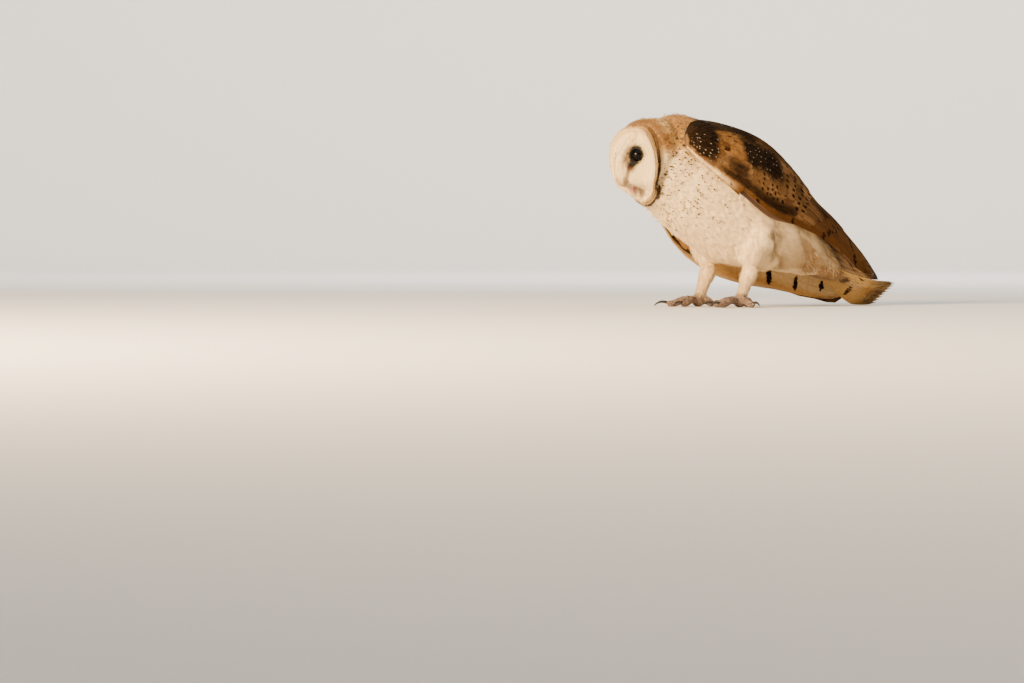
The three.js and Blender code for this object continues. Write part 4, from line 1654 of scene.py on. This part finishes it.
            worn = np.full(count, 0.35 + 0.3 * min(index, 2))
            pale = blend(plumage.face, plumage.face_edge, worn)
            dark = blend(plumage.brow, plumage.ruff_tip, low)
            browned = paint(pale, plumage.brow, np.full(count, 0.35))
            tip = (pale, browned, pale, dark, dark)[index]
            share = step(0.25, 0.7, template.along)[None]
            base = pale if index < 3 else blend(plumage.face_edge, plumage.ruff, low)
            tint = mix(base[:, None, :], tip[:, None, :], np.broadcast_to(share, reach.shape))
            tint *= (1 + 0.08 * draw.standard_normal((count, 1, 1)))
            round_disc = 0.02 + 0.96 * angle / (2 * math.pi)
            patch = np.stack([round_disc, np.full(count, 0.1 + 0.2 * index)], axis=1)
            flock.add(place, patch, TUFT_PATCH, tint=np.clip(tint, 0, 1))
        flock.weave("plumage_ruff", self.coat.material, "head_plumage")


@dataclass
class Scutes:
    """Overlapping horny plates along the top of each toe."""

    skin: Skin
    plumage: Plumage
    horn: str = "#6B5546"
    horn_pale: str = "#B2917A"
    plate_length: float = 3.4
    plate_width: float = 3.2
    pitch: float = 2.3
    first: float = 7.0

    def build(self) -> bpy.types.Object:
        """Lays three rows of plates along every toe."""
        template = Template.vane(2, 3, tip=0.6, base=0.8)
        flock = Feathers(template)
        draw = np.random.default_rng(41)
        along, over = template.along[None, :, None], template.across[None, :, None]
        for leg in LEGS:
            ankle = leg.joints()[2]
            for _, heading, length in leg.toes:
                way = leg.bearing(heading)
                across = np.cross(way, [0.0, 0.0, 1.0])
                reach = np.arange(self.first, length, self.pitch)
                for lane in (-1, 0, 1):
                    count = len(reach)
                    middle = ankle + way * (reach + 0.5 * self.pitch * (lane != 0))[:, None]
                    middle[:, 2] = 5.0
                    aim = unit(np.array([0.0, 0.0, 1.0]) + lane * 0.95 * across)
                    start = (middle + aim * 6.0 + self.plumage.head.shift) * MM
                    root, normal = self.skin.nearest(start)
                    go = across_to(np.broadcast_to(way, root.shape), normal)
                    side = np.cross(go, normal)
                    long = self.plate_length * (1 + 0.08 * draw.standard_normal(count)) * MM
                    wide = self.plate_width * (1 + 0.08 * draw.standard_normal(count)) * MM / 2
                    place = root[:, None] + go[:, None] * along * long[:, None, None]
                    place = place + side[:, None] * over * wide[:, None, None]
                    rise = (0.15 + 0.5 * along - 0.55 * over**2) * MM
                    place = place + normal[:, None] * rise
                    place[..., 2] = np.maximum(place[..., 2], FLOOR_GAP)
                    tint = blend(self.horn, self.horn_pale, draw.random(count))[:, None, :]
                    shade = 0.6 + 0.4 * step(0.0, 0.7, template.along)[None, :, None]
                    flock.add(place, self.unwrap(root), TUFT_PATCH, tint=tint * shade)
        return flock.weave("toe_scutes", SkinFinish("toe_scute_horn", 0.9).build(), "toe_skin")

    def unwrap(self, points: Array) -> Array:
        """Places on a plan of the feet."""
        flat = points[:, :2] / 0.2 + 0.5
        return np.clip(flat, 0.01, 0.99)


# ---- wings and tail -------------------------------------------------------------------------

class Mark(Enum):
    """The pattern a row of vanes carries."""

    PLAIN = "plain"
    BARRED = "barred"
    SPOTTED = "spotted"
    STREAKED = "streaked"


@dataclass(frozen=True)
class VaneRow:
    """One row of overlapping vanes on a wing, in shares of the wing and millimetres."""

    tips: tuple[float, float]  # share of the wing's length where the tips lie, at both ends
    across: tuple[float, float]  # shares across the wing of the first and last tip
    count: int
    length: float
    width: float
    layer: float  # height of the root over the wing's face
    lift: float = 0.5  # how much higher the tip lies
    slope: float = 0.0  # how far across the root lies from the tip
    mark: Mark = Mark.PLAIN
    spacing: float = 26.0
    outer: float = 1.0
    jitter: float = 0.004


@dataclass
class WingColours:
    """The wing's colours as a function of the place on it."""

    lead_end: float = 0.24  # share of the wing's length where the cream leading band ends
    # rufous of the primaries, dark enough for the painted shade of the band under the wing's lower
    # edge
    rufous: str = "#53351A"
    umber: str = "#352010"
    tan: str = "#66492C"
    tan_pale: str = "#8A6540"
    gold: str = "#7E5830"
    grey: str = "#0D0A09"
    grey_pale: str = "#2C241E"
    edge: str = "#DDB986"
    white: str = "#CDBA9C"
    dark: str = "#150D08"
    under: str = "#C9A877"
    rim: str = "#A87E4A"

    def outer(self, t: Array, s: Array, place: Array) -> tuple[Array, Array, Array]:
        """Colour, pearl share and spot share at places on the outer face."""
        n = cloud(place, 13.0, 51) - 0.5
        m = cloud(place, 8.0, 52) - 0.5
        tt, ss = t + 0.030 * n + 0.015 * m, s + 0.10 * m
        tone = blend(self.tan, self.tan_pale, step(-0.1, 0.5, n + m))
        tone = paint(tone, self.umber, 0.6 * step(0.05, -0.4, n - 0.4 * m))
        # the folded back edge is umber with one rufous streak
        back = step(0.52, 0.30, ss) * step(0.22, 0.30, tt)
        tone = paint(tone, self.umber, 0.85 * back)
        tone = paint(tone, self.umber, 0.6 * band(tt, (0.57, 0.66), (0.84, 0.90)))
        streak = band(ss, (0.07, 0.14), (0.26, 0.36)) * band(tt, (0.26, 0.32), (0.54, 0.62))
        tone = paint(tone, self.rufous, 0.85 * streak * step(-0.35, 0.0, m))
        shoulder = band(tt, (0.040, 0.060), (0.165, 0.195)) * step(0.92, 0.84, ss)
        scapular = band(tt, (0.235, 0.262), (0.37, 0.40)) * band(ss, (0.37, 0.45), (0.64, 0.72))
        under_gold = band(tt, (0.18, 0.22), (0.26, 0.30)) * band(ss, (0.68, 0.74), (0.80, 0.88))
        grey = np.maximum(np.maximum(shoulder, scapular), 0.8 * under_gold)
        crest = step(0.46, 0.34, ss) * band(tt, (0.12, 0.18), (0.30, 0.36))
        tone = mix(tone, blend(self.grey, self.grey_pale, step(0.1, 0.5, n)), 0.94 * grey)
        tone = paint(tone, self.dark, 0.85 * np.maximum(crest, step(0.10, 0.04, s)))
        gold = band(tt, (0.165, 0.19), (0.235, 0.262)) * band(ss, (0.34, 0.44), (0.64, 0.72))
        tone = mix(tone, blend(self.gold, self.umber, step(0.0, 0.4, n - m)), gold)
        # along the lower edge: a dark line of painted shadow where the coverts overhang, and under
        # it the rufous band of the primaries, painted in its shade
        line = band(s + 0.03 * m, (0.80, 0.86), (0.90, 0.93)) * band(tt, (0.17, 0.21), (0.46, 0.54))
        tone = paint(tone, self.dark, 0.9 * line)
        low = step(0.90, 0.94, s) * step(0.20, 0.26, tt)
        tone = paint(tone, self.rufous, low)
        lead = step(0.92, 0.95, s + 0.02 * m) * step(self.lead_end + 0.02, self.lead_end - 0.06, tt)
        tone = paint(tone, self.edge, lead)
        tone = paint(tone, self.umber, 0.6 * step(0.985, 1.005, s))
        tone = paint(tone, self.white, 0.7 * step(0.955, 0.985, t))
        plain = (1.0 - grey) * (1.0 - lead) * (1.0 - gold) * (1.0 - crest)
        spots = plain * band(s, (0.30, 0.45), (0.86, 0.90)) * step(0.27, 0.31, t)
        return tone, grey * (1.0 - under_gold) * step(0.40, 0.48, s), spots


@dataclass
class Wing:
    """A folded wing: its bed, coverts in rows, secondaries and primaries."""

    side: Side
    shape: WingShape
    vane: bpy.types.Material
    colours: WingColours = field(default_factory=WingColours)
    seed: int = 61
    bed_inset: tuple[float, float] = (1.5, 0.8)
    under_bar: float = 0.60  # share of the wing's length of one bar, and from bar to bar
    under_pitch: float = 0.105

    def bed(self) -> None:
        """The closed pad under the feathers, drawn in from the CAD wing."""
        name = f"wing_{self.side.label}"
        shape = bmesh.new()
        shape.from_mesh(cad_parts[name].data)
        bmesh.ops.remove_doubles(shape, verts=shape.verts, dist=1e-6)
        bmesh.ops.subdivide_edges(shape, edges=shape.edges, cuts=1, use_grid_fill=True, smooth=0.0)
        bmesh.ops.recalc_face_normals(shape, faces=shape.faces)
        shape.normal_update()
        moved = []
        for vertex in shape.verts:
            y = vertex.co.y / MM - self.shape.shift[1]
            inset = float(np.interp(y, [-60.0, 150.0], self.bed_inset))
            moved.append(vertex.co - vertex.normal * inset * MM)
        for vertex, place in zip(shape.verts, moved):
            vertex.co = place
        piece = from_bmesh(f"wing_bed_{self.side.label}", shape)
        place, normal = vertex_arrays(piece.data)
        share = np.linspace(0.0, 1.0, 80)
        start, _, end = self.shape.rails(share)
        mirror = np.array([self.side.value, 1.0, 1.0])

        def close_to(rail: Array) -> Array:
            """How near each vertex lies to a rail, from 0 to 1."""
            points = rail * mirror + self.shape.shift
            away = np.linalg.norm(place[:, None] / MM - points[None], axis=-1).min(axis=1)
            return step(10.0, 6.0, away)

        rim = blend(self.colours.rim, self.colours.under, cloud(place, 20.0, 58))
        outward = step(-0.6, -0.2, normal[:, 0] * self.side.value)
        if self.side is Side.LEFT:
            outward = np.maximum(outward, close_to(end))
        y = place[:, 1] / MM - self.shape.shift[1]
        at_lead = close_to(end) * step(-30.0, -60.0, y)
        outside = blend(self.colours.rufous, self.colours.umber, step(40.0, -20.0, y))
        outside = paint(outside, self.colours.edge, at_lead)
        rim = mix(rim, outside, outward)
        rim = paint(rim, self.colours.dark, 0.9 * close_to(start))
        set_colour(piece.data, "tint", rim)
        piece.data.materials.append(DownFinish("feather_bed_soft", barb_mm=1.4).build())
        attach(piece, "root")
        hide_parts(name)

    def lay(self, flock: Feathers, row: VaneRow, index: int, tint_under: bool = False) -> None:
        """Lays one row of vanes.

        Args:
            flock: gathers the vanes.
            row: the row's sizes.
            index: the row's number, for its random draw.
            tint_under: colours the vanes as the wing's pale underside.
        """
        draw = np.random.default_rng(self.seed + 10 * index + (self.side.value + 1))
        shape, template, colours = self.shape, flock.template, self.colours
        share = np.linspace(0.0, 1.0, row.count)
        s_tip = row.across[0] + (row.across[1] - row.across[0]) * share
        gap = 0.25 * abs(row.across[1] - row.across[0])
        s_tip = s_tip + draw.uniform(-1, 1, row.count) * gap / row.count
        t_tip = row.tips[0] + (row.tips[1] - row.tips[0]) * share
        t_tip = t_tip + draw.uniform(-1, 1, row.count) * row.jitter
        length = row.length * vary(draw, 0.05, row.count)
        t_root = np.maximum(t_tip - length / shape.reach(t_tip - 0.05, s_tip), 0.012)
        s_root = s_tip - row.slope
        along = template.along[None]
        t = t_root[:, None] + (t_tip - t_root)[:, None] * along
        centre = s_root[:, None] + (s_tip - s_root)[:, None] * along**1.2
        free = step(0.80, 0.95, t)  # the last of the primaries stand free of the pad
        girth = np.maximum(shape.girth(t, np.clip(centre, 0.0, 1.0)), 26.0 - 14.0 * free)
        width = row.width * vary(draw, 0.05, row.count)
        s = centre + template.across[None] * (width / 2)[:, None] / girth
        far = self.side is Side.RIGHT
        most = 1.01 - 0.05 * far * step(0.50, 0.40, t) + 0.22 * free
        if row.outer < 0:
            most = np.where(free > 0.0, 0.96, 0.99) - 0.03 * (not far)
        s = np.clip(s, -0.30 * free * (row.outer > 0), most)
        place, normal = shape.surface(t, s, row.outer)
        layer = row.layer + row.lift * along + 0.35 * template.across[None]
        layer = layer + 0.10 * draw.standard_normal(row.count)[:, None] * along
        layer = layer - 0.25 * (np.abs(template.across[None]) > 0.9)
        # the vanes hug the pad along the back, so that no daylight shows under them
        layer = layer * (1.0 - 0.92 * step(0.36, 0.08, s) * step(0.55, 0.45, t))
        place = (place + normal * row.outer * layer[..., None]) * MM
        place[..., 2] = np.maximum(place[..., 2], WING_FLOOR_GAP)
        middle = np.broadcast_to(place.mean(axis=1)[:, None, :], place.shape)
        full, _, _ = colours.outer(t, s, middle)
        _, grey, spots = colours.outer(t_tip - 0.012, s_tip, middle[:, 0])
        full = full * vary(draw, 0.10, row.count)[:, None, None]
        ones = np.ones_like(t)
        bars = ones * (row.mark is Mark.BARRED) * (1.0 if tint_under else 0.5)
        if row.mark is Mark.BARRED and not tint_under:
            lead_end = colours.lead_end
            barred = step(0.95, 0.88, t) * step(lead_end, lead_end + 0.06, t)
            full = paint(full, colours.rufous, 0.7 * barred)
        if tint_under:
            tint_share = np.broadcast_to(step(0.86, 0.96, s), t.shape)
            full = blend(colours.under, colours.rim, tint_share)
            full = full * (1 + 0.04 * draw.standard_normal((row.count, 1, 1)))
            inner_end = 0.74 - 0.12 * step(0.70, 0.80, t)
            blot = band(s - inner_end, (0.0, 0.14), (0.19, 0.24)) * step(0.48, 0.54, t)
            bars = bars * blot
        # the barbs' inner web is darker than the edge, so that each feather shows
        if row.mark is Mark.STREAKED:
            full = full * (1.25 - 0.75 * step(0.9, 0.2, np.abs(template.across)))[None, :, None]
        spot = spots * (row.mark is Mark.SPOTTED) * (draw.random(row.count) < 0.9)
        pearl = grey * (draw.random(row.count) < 0.55) * (not tint_under)
        streak = ones * (row.mark is Mark.STREAKED)
        marks = np.stack([bars, ones * spot[:, None], ones * pearl[:, None]], axis=-1)
        run = ones * length[:, None] * along
        barb_slant = 9.0 * np.abs(0.5 * template.across[None] + 0.08)
        phase = (length[:, None] - run + barb_slant - 4.0) / row.spacing
        if tint_under:  # bars of neighbours meet, at even shares of the wing
            phase = ones * (t - self.under_bar) / self.under_pitch
        sizes = np.stack([run, phase, streak], axis=-1)
        dark = np.broadcast_to(linear(colours.dark), (row.count, 1, 3))
        root_uv = np.stack([np.clip(t_root, 0.02, 0.98), np.clip(s_root, 0.02, 0.98)], axis=1)
        patch = TUFT_PATCH if row.length < 30 else VANE_PATCH
        full = np.clip(full, 0, 1)
        flock.add(place, root_uv, patch, tint=full, dark=dark, marks=marks, sizes=sizes)

    def lay_rows(
        self, flock: Feathers, rows: Iterable[VaneRow], first: int, tint_under: bool = False
    ) -> None:
        """Lays rows one after another, numbered from the first."""
        for index, row in enumerate(rows, first):
            self.lay(flock, row, index, tint_under)

    def build(self) -> None:
        """Builds the bed and every row, from the innermost layer out."""
        self.bed()
        label = self.side.label
        flight = Feathers(Template.vane(6, 14, tip=0.12, base=0.55))
        far = 0.035 * (self.side is Side.RIGHT)  # the lower wing's point closes on the tail
        primaries = [
            VaneRow((0.99 + far - 0.0035 * (7 - k) ** 2,) * 2, (0.28 + 0.072 * k,) * 2, 1,
                    150.0 + 4.5 * k, 17.0, -0.42 - 0.015 * k, 0.30, -0.50 + 0.06 * k,
                    Mark.BARRED, 34.0, jitter=0.002)
            for k in range(10)
        ]
        inner = [
            VaneRow((0.78 + far + 0.021 * k,) * 2, (0.42 + 0.050 * k,) * 2, 1,
                    150.0 + 4.0 * k, 19.0, 0.25 + 0.12 * k, 0.2, -0.45 + 0.045 * k,
                    Mark.BARRED, 38.0, -1.0, 0.002)
            for k in range(10)
        ]
        secondaries = VaneRow(
            (0.80, 0.60), (0.10, 0.86), 13, 88.0, 17.0, -0.35, 0.7, 0.04, Mark.STREAKED)
        self.lay_rows(flight, reversed(primaries), 0)
        self.lay_rows(flight, inner, 20, tint_under=True)
        self.lay_rows(flight, [secondaries], 40)
        flight.weave(f"flight_feathers_{label}", self.vane, "wing_feathers")

        coverts = Feathers(Template.vane(4, 7, tip=0.5, base=0.55))
        bands = (
            (0.62, 0.535, 0.04, 16, 40.0, 13.0, 0.2, 0.03),
            (0.57, 0.495, 0.02, 17, 30.0, 12.0, 0.3, 0.03),
            (0.52, 0.455, 0.00, 18, 26.0, 11.0, 0.4, 0.02),
            (0.475, 0.415, 0.00, 18, 24.0, 10.5, 0.45, 0.02),
            (0.435, 0.38, -0.02, 19, 20.0, 9.5, 0.5, 0.02),
        )
        self.lay_rows(coverts, [
            VaneRow((first, last), (back, 0.88), count, long, wide, layer, 0.7, slope, Mark.SPOTTED)
            for first, last, back, count, long, wide, layer, slope in bands
        ], 50)
        small = []
        for tip in np.arange(0.40, 0.045, -0.0165):
            size = float(np.interp(tip, [0.05, 0.2, 0.4], [7.5, 11.0, 17.0]))
            low = 0.88 if tip > 0.27 else 1.0
            count = int(np.interp(tip, [0.05, 0.2, 0.4], [12, 20, 20]))
            small.append(VaneRow((tip, tip - 0.01), (-0.03, low), count, size, size * 0.62,
                                 0.55, 0.65, 0.01, Mark.SPOTTED))
        self.lay_rows(coverts, small, 60)
        coverts.weave(f"wing_coverts_{label}", self.vane, "wing_feathers")

        lining = Feathers(Template.vane(3, 5, tip=0.5, base=0.5))
        self.lay_rows(lining, [
            VaneRow((tip, tip), (0.25, 0.93), 12, 18.0, 13.0, 0.7, 0.6, 0.0, outer=-1.0)
            for tip in np.arange(0.52, 0.14, -0.03)
        ], 100, tint_under=True)
        lining.weave(f"wing_lining_{label}", self.vane, "wing_feathers")


@dataclass
class Tail:
    """Twelve tail feathers in a closed fan, barred, with a mottled tip."""

    shape: TailShape
    vane: bpy.types.Material
    down: bpy.types.Material
    count: int = 12
    width: float = 14.0
    length: float = 112.0
    bar: float = 0.60  # share of the tail's length of one bar, and from bar to bar
    pitch: float = 0.20
    ground: str = "#B8935C"
    ground_middle: str = "#93683A"
    tip: str = "#7C6648"
    tip_dark: str = "#2B211A"
    bar_dark: str = "#22170F"
    covert: str = "#E9C48C"
    covert_dark: str = "#B48A58"

    def build(self) -> None:
        """Lays the feathers from the outermost pair up to the middle pair."""
        flock = Feathers(Template.vane(6, 14, tip=0.16, base=0.5))
        template = flock.template
        draw = np.random.default_rng(71)
        slots = np.linspace(-0.86, 0.86, self.count)
        for slot in slots[np.argsort(-np.abs(slots))]:
            along = template.along[None]
            end = 1.0 - 0.05 * slot**2 - 0.14 * max(0.0, slot) ** 2
            t = 0.06 + (end - 0.06) * along
            half = self.shape.root_half + (self.shape.end_half - self.shape.root_half) * t
            q = slot + template.across[None] * (self.width / 2) / half
            height = 1.3 - 1.9 * abs(slot) + 0.4 * template.across[None] * -np.sign(slot)
            height = np.broadcast_to(height, t.shape)
            place = self.shape.surface(t, np.clip(q, -1.02, 1.02), height) * MM
            place[..., 2] = np.maximum(place[..., 2], FLOOR_GAP)
            inner = max(0.0, 1.0 - abs(slot) * 1.6)
            tone = blend(self.ground, self.ground_middle, np.array(inner))
            tone = tone * (1 + 0.05 * draw.standard_normal())
            tip = step(0.68, 0.88, template.along)[None]
            grey = blend(self.tip, self.tip_dark, step(0.3, 0.6, cloud(place, 2.6, 72)))
            share = np.broadcast_to(tip, place.shape[:2]) * 0.85
            full = np.clip(mix(np.broadcast_to(tone, place.shape), grey, share), 0, 1)
            none = np.zeros_like(t)
            strength = band(q, (-1.0, -0.55), (0.0, 0.45)) * step(0.0, 0.3, cloud(place, 9.0, 73))
            strength = strength * step(0.46, 0.52, t)
            marks = np.stack([strength * (1.0 - tip), none, none], axis=-1)
            sizes = np.stack([self.length * t, (t - self.bar) / self.pitch, none], axis=-1)
            dark = linear(self.bar_dark)[None, None, :]
            root_uv = np.array([[0.5 + 0.45 * slot, 0.5]])
            flock.add(place, root_uv, TAIL_PATCH, tint=full, dark=dark, marks=marks, sizes=sizes)
        flock.weave("tail_feathers", self.vane, "tail_feathers", ("tail",))

    def coverts(self, layers: int = 8, rise: float = 3.9) -> None:
        """Soft loose feathers between the tail's root and the wings' points."""
        flock = Feathers(Template.tuft(6, 4, 1.0, 0.95))
        template = flock.template
        draw = np.random.default_rng(75)
        for layer in range(layers):
            count = 15
            slot = np.linspace(-0.75, 0.95, count) + draw.uniform(-0.05, 0.05, count)
            end = 0.70 - 0.026 * layer + draw.uniform(-0.02, 0.02, count) - 0.05 * slot**2
            along = template.along[None]
            t = (end - 0.34)[:, None] + 0.34 * along
            wide = 0.20 + 0.03 * draw.standard_normal((count, 1))
            q = slot[:, None] + template.across[None] * wide
            height = 1.5 + rise * layer * (1.0 - 0.35 * slot[:, None] ** 2)
            height = height * (1.0 - 0.7 * along**2.5) - 0.8 * template.across[None] ** 2
            place = self.shape.surface(t, q, height) * MM
            tone = blend(self.covert, self.covert_dark, cloud(place[:, 0], 11.0, 76))
            tone = tone * (1 + 0.06 * draw.standard_normal((count, 1)))
            deep = 0.6 + 0.4 * step(0.1, 0.8, template.along)
            patch = np.stack([0.5 + 0.45 * slot, 0.1 + 0.1 * layer + 0.0 * slot], axis=1)
            flock.add(place, patch, TUFT_PATCH, tint=tone[:, None] * deep[None, :, None])
        flock.weave("plumage_tail_coverts", self.down, "body_plumage")


# ---- eyes, bill and claws -------------------------------------------------------------------

def refined(
    name: str, nodes: Sequence[str], material: bpy.types.Material, levels: int = 2
) -> bpy.types.Object:
    """A smooth piece that stands for faceted CAD nodes.

    Args:
        name: the piece's name.
        nodes: the CAD nodes it replaces.
        material: its finish.
        levels: how often it is subdivided.

    Returns:
        The piece.
    """
    shape = bmesh.new()
    for node in nodes:
        shape.from_mesh(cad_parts[node].data)
    bmesh.ops.remove_doubles(shape, verts=shape.verts, dist=2e-6)
    piece = from_bmesh(name, shape)
    piece.data.materials.clear()
    piece.data.materials.append(material)
    smooth = piece.modifiers.new("rounded", "SUBSURF")
    smooth.levels = smooth.render_levels = levels
    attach(piece, "root")
    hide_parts(*nodes)
    LOG.info("%s: stands for %d solids", name, len(nodes))
    return piece


@dataclass
class HardParts:
    """Eyes, bill and claws."""

    head: HeadShape

    def eyes(self) -> None:
        """Smooth eyeballs with a raised cornea, in the CAD's places."""
        finish = EyeFinish().build()
        for side in Side:
            name = f"eye_{side.label}"
            low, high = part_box(name)
            centre, radius = (low + high) / 2, self.head.eye_radius * self.head.scale * MM
            shape = bmesh.new()
            bmesh.ops.create_uvsphere(shape, u_segments=40, v_segments=24, radius=radius)
            gaze = Vector(self.head.direction(np.array([side.value * 0.4, 1.0, 0.0]))).normalized()
            for vertex in shape.verts:
                facing = vertex.co.normalized().dot(gaze)
                vertex.co *= 1.0 + 0.05 * float(step(0.72, 0.95, facing))
                vertex.co += centre
            piece = from_bmesh(f"eyeball_{side.label}", shape)
            piece.data.materials.append(finish)
            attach(piece, "root")
            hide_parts(name)

    def bill(self) -> None:
        """Both halves of the bill, pinkish horn with a pale tip."""
        low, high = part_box("bill_upper")
        full = low.z + 0.4 * (high.z - low.z)
        material = HornFinish("bill_horn_pale", "#B9806C", "#D9B8A0", 0.42, low.z, full).build()
        refined("bill_top", ("bill_upper",), material)
        refined("bill_under", ("bill_lower",), material)

    def claws(self) -> None:
        """Four claws on each foot, nearly black horn."""
        material = HornFinish("claw_horn_dark", "#2A211C", "#0E0B0A", 0.3, 0.0, 0.006).build()
        for side in Side:
            nodes = [f"claw_{toe}_{side.label}" for toe in ("hallux", "inner", "middle", "outer")]
            refined(f"claws_{side.label}", nodes, material)


# ---- stage ----------------------------------------------------------------------------------

@dataclass
class Stage:
    """Pale round studio, soft lights and the camera."""

    floor_radius: float = 5.2
    wall_height: float = 3.2
    bend_radius: float = 0.9
    lens: float = 135.0
    azimuth: float = 56.0
    distance: float = 4.035
    camera_height: float = 0.075
    aim_across: float = -0.2542
    aim_up: float = -0.037

    def sweep(self) -> None:
        """Floor that turns up into a wall all round, spun from one profile."""
        shape = bmesh.new()
        points = [(0.0, 0.0), (self.floor_radius - self.bend_radius, 0.0)]
        points += [
            (self.floor_radius - self.bend_radius + self.bend_radius * math.sin(a),
             self.bend_radius * (1 - math.cos(a)))
            for a in np.radians(np.arange(10.0, 91.0, 10.0))
        ]
        points.append((self.floor_radius, self.wall_height))
        line = [shape.verts.new((x, 0.0, z)) for x, z in points]
        edges = [shape.edges.new(pair) for pair in zip(line, line[1:])]
        bmesh.ops.spin(
            shape, geom=line + edges, cent=(0, 0, 0), axis=(0, 0, 1), angle=2 * math.pi,
            steps=72, use_merge=True,
        )
        bmesh.ops.remove_doubles(shape, verts=shape.verts, dist=1e-5)
        floor = from_bmesh("studio_sweep", shape)
        floor.data.flip_normals()
        floor.data.materials.append(FloorFinish().build())

    def light(
        self, name: str, place: Sequence[float], size: float, power: float, tone: str,
        target: Sequence[float] = (0.0, 0.0, 0.11),
    ) -> None:
        """A square soft light, aimed at the bird unless a target is given."""
        lamp = bpy.data.lights.new(name, "AREA")
        lamp.shape, lamp.size, lamp.energy = "SQUARE", size, power
        lamp.color = tuple(linear(tone))
        made = new_object(name, lamp)
        made.location = place
        made.rotation_euler = (Vector(target) - Vector(place)).to_track_quat("-Z", "Y").to_euler()

    def lights(self) -> None:
        """A warm key low on the bird's front left, a soft top light and a pale room."""
        self.light("key", (0.75, -2.35, 0.85), 0.8, 215.0, "#FFE0B0")
        self.light("top", (1.2, -0.4, 3.4), 4.0, 50.0, "#FFFFFF")
        self.light("back", (-1.4, 2.2, 2.0), 1.6, 26.0, "#EAF1FF")
        self.light("wall", (-1.9, 1.3, 2.6), 2.0, 130.0, "#FFFFFF", (-4.6, 3.1, 0.6))
        world = bpy.data.worlds.new("studio_air")
        world.use_nodes = True
        air = world.node_tree.nodes["Background"]
        air.inputs[0].default_value = rgba("#F4F0EA")
        air.inputs[1].default_value = 0.48
        bpy.context.scene.world = world

    def camera(self) -> None:
        """Long lens near the floor, the bird in the upper right of the frame."""
        angle = math.radians(self.azimuth)
        back = Vector((math.sin(angle), -math.cos(angle), 0.0))
        right = Vector((math.cos(angle), math.sin(angle), 0.0))
        data = bpy.data.cameras.new("camera")
        data.lens, data.sensor_width, data.clip_end = self.lens, 36.0, 60.0
        camera = new_object("camera", data)
        camera.location = back * self.distance + Vector((0, 0, self.camera_height))
        aim = right * self.aim_across + Vector((0, 0, self.aim_up))
        camera.rotation_euler = (aim - camera.location).to_track_quat("-Z", "Y").to_euler()
        bpy.context.scene.camera = camera


LEFT_WING = dict(
    upper=((44, -78, 170), (32, -62, 188), (8, -16, 188), (3, 30, 176), (2.5, 66, 149),
           (2.5, 100, 115), (3, 133, 93), (7, 170, 57), (13, 190, 27)),
    middle=((44, -78, 170), (50, -68, 171), (56, -20, 160), (53, 25, 145), (43, 62, 126),
            (31, 97, 102), (20, 132, 80), (14, 168, 49), (13, 190, 27)),
    lower=((44, -78, 170), (52, -67, 155), (58, -22, 120), (56, 17, 93), (49, 54, 85),
           (38, 94, 75), (27, 130, 55), (18, 164, 31), (13, 190, 27)),
)
RIGHT_WING = dict(
    upper=((44, -76, 166), (32, -60, 187), (8, -14, 187), (3, 30, 175), (2.5, 66, 147),
           (5, 102, 111), (11, 136, 80), (26, 174, 46), (40, 193, 14)),
    middle=((44, -76, 166), (52, -62, 164), (60, -14, 150), (58, 30, 126), (51, 66, 98),
            (43, 103, 72), (38, 138, 47), (40, 174, 26), (40, 193, 14)),
    lower=((44, -76, 166), (54, -65, 132), (60, -23, 65), (60, 21, 35), (56, 62, 22),
           (52, 101, 16), (47, 136, 9), (44, 170, 6), (40, 193, 14)),
)


def main() -> None:
    """Builds the owl from the skin out, then the stage."""
    logging.basicConfig(level=logging.INFO, format="%(name)s %(message)s")
    head = HeadShape()
    plumage = Plumage(head)
    skin = Skin(plumage).build()
    body = BodyPlumage(skin, plumage)
    body.build()
    Scutes(skin, plumage).build()
    vane = VaneFinish().build()
    for side, rails in ((Side.LEFT, LEFT_WING), (Side.RIGHT, RIGHT_WING)):
        colours = WingColours(lead_end=0.24 if side is Side.LEFT else 0.46)
        Wing(side, WingShape(side, shift=head.shift, **rails), vane, colours).build()
    tail = Tail(TailShape(head.shift), vane, body.coat.material)
    tail.build()
    tail.coverts()
    hard = HardParts(head)
    hard.eyes()
    hard.bill()
    hard.claws()
    stage = Stage()
    stage.sweep()
    stage.lights()
    stage.camera()


if __name__ == "__main__":
    main()
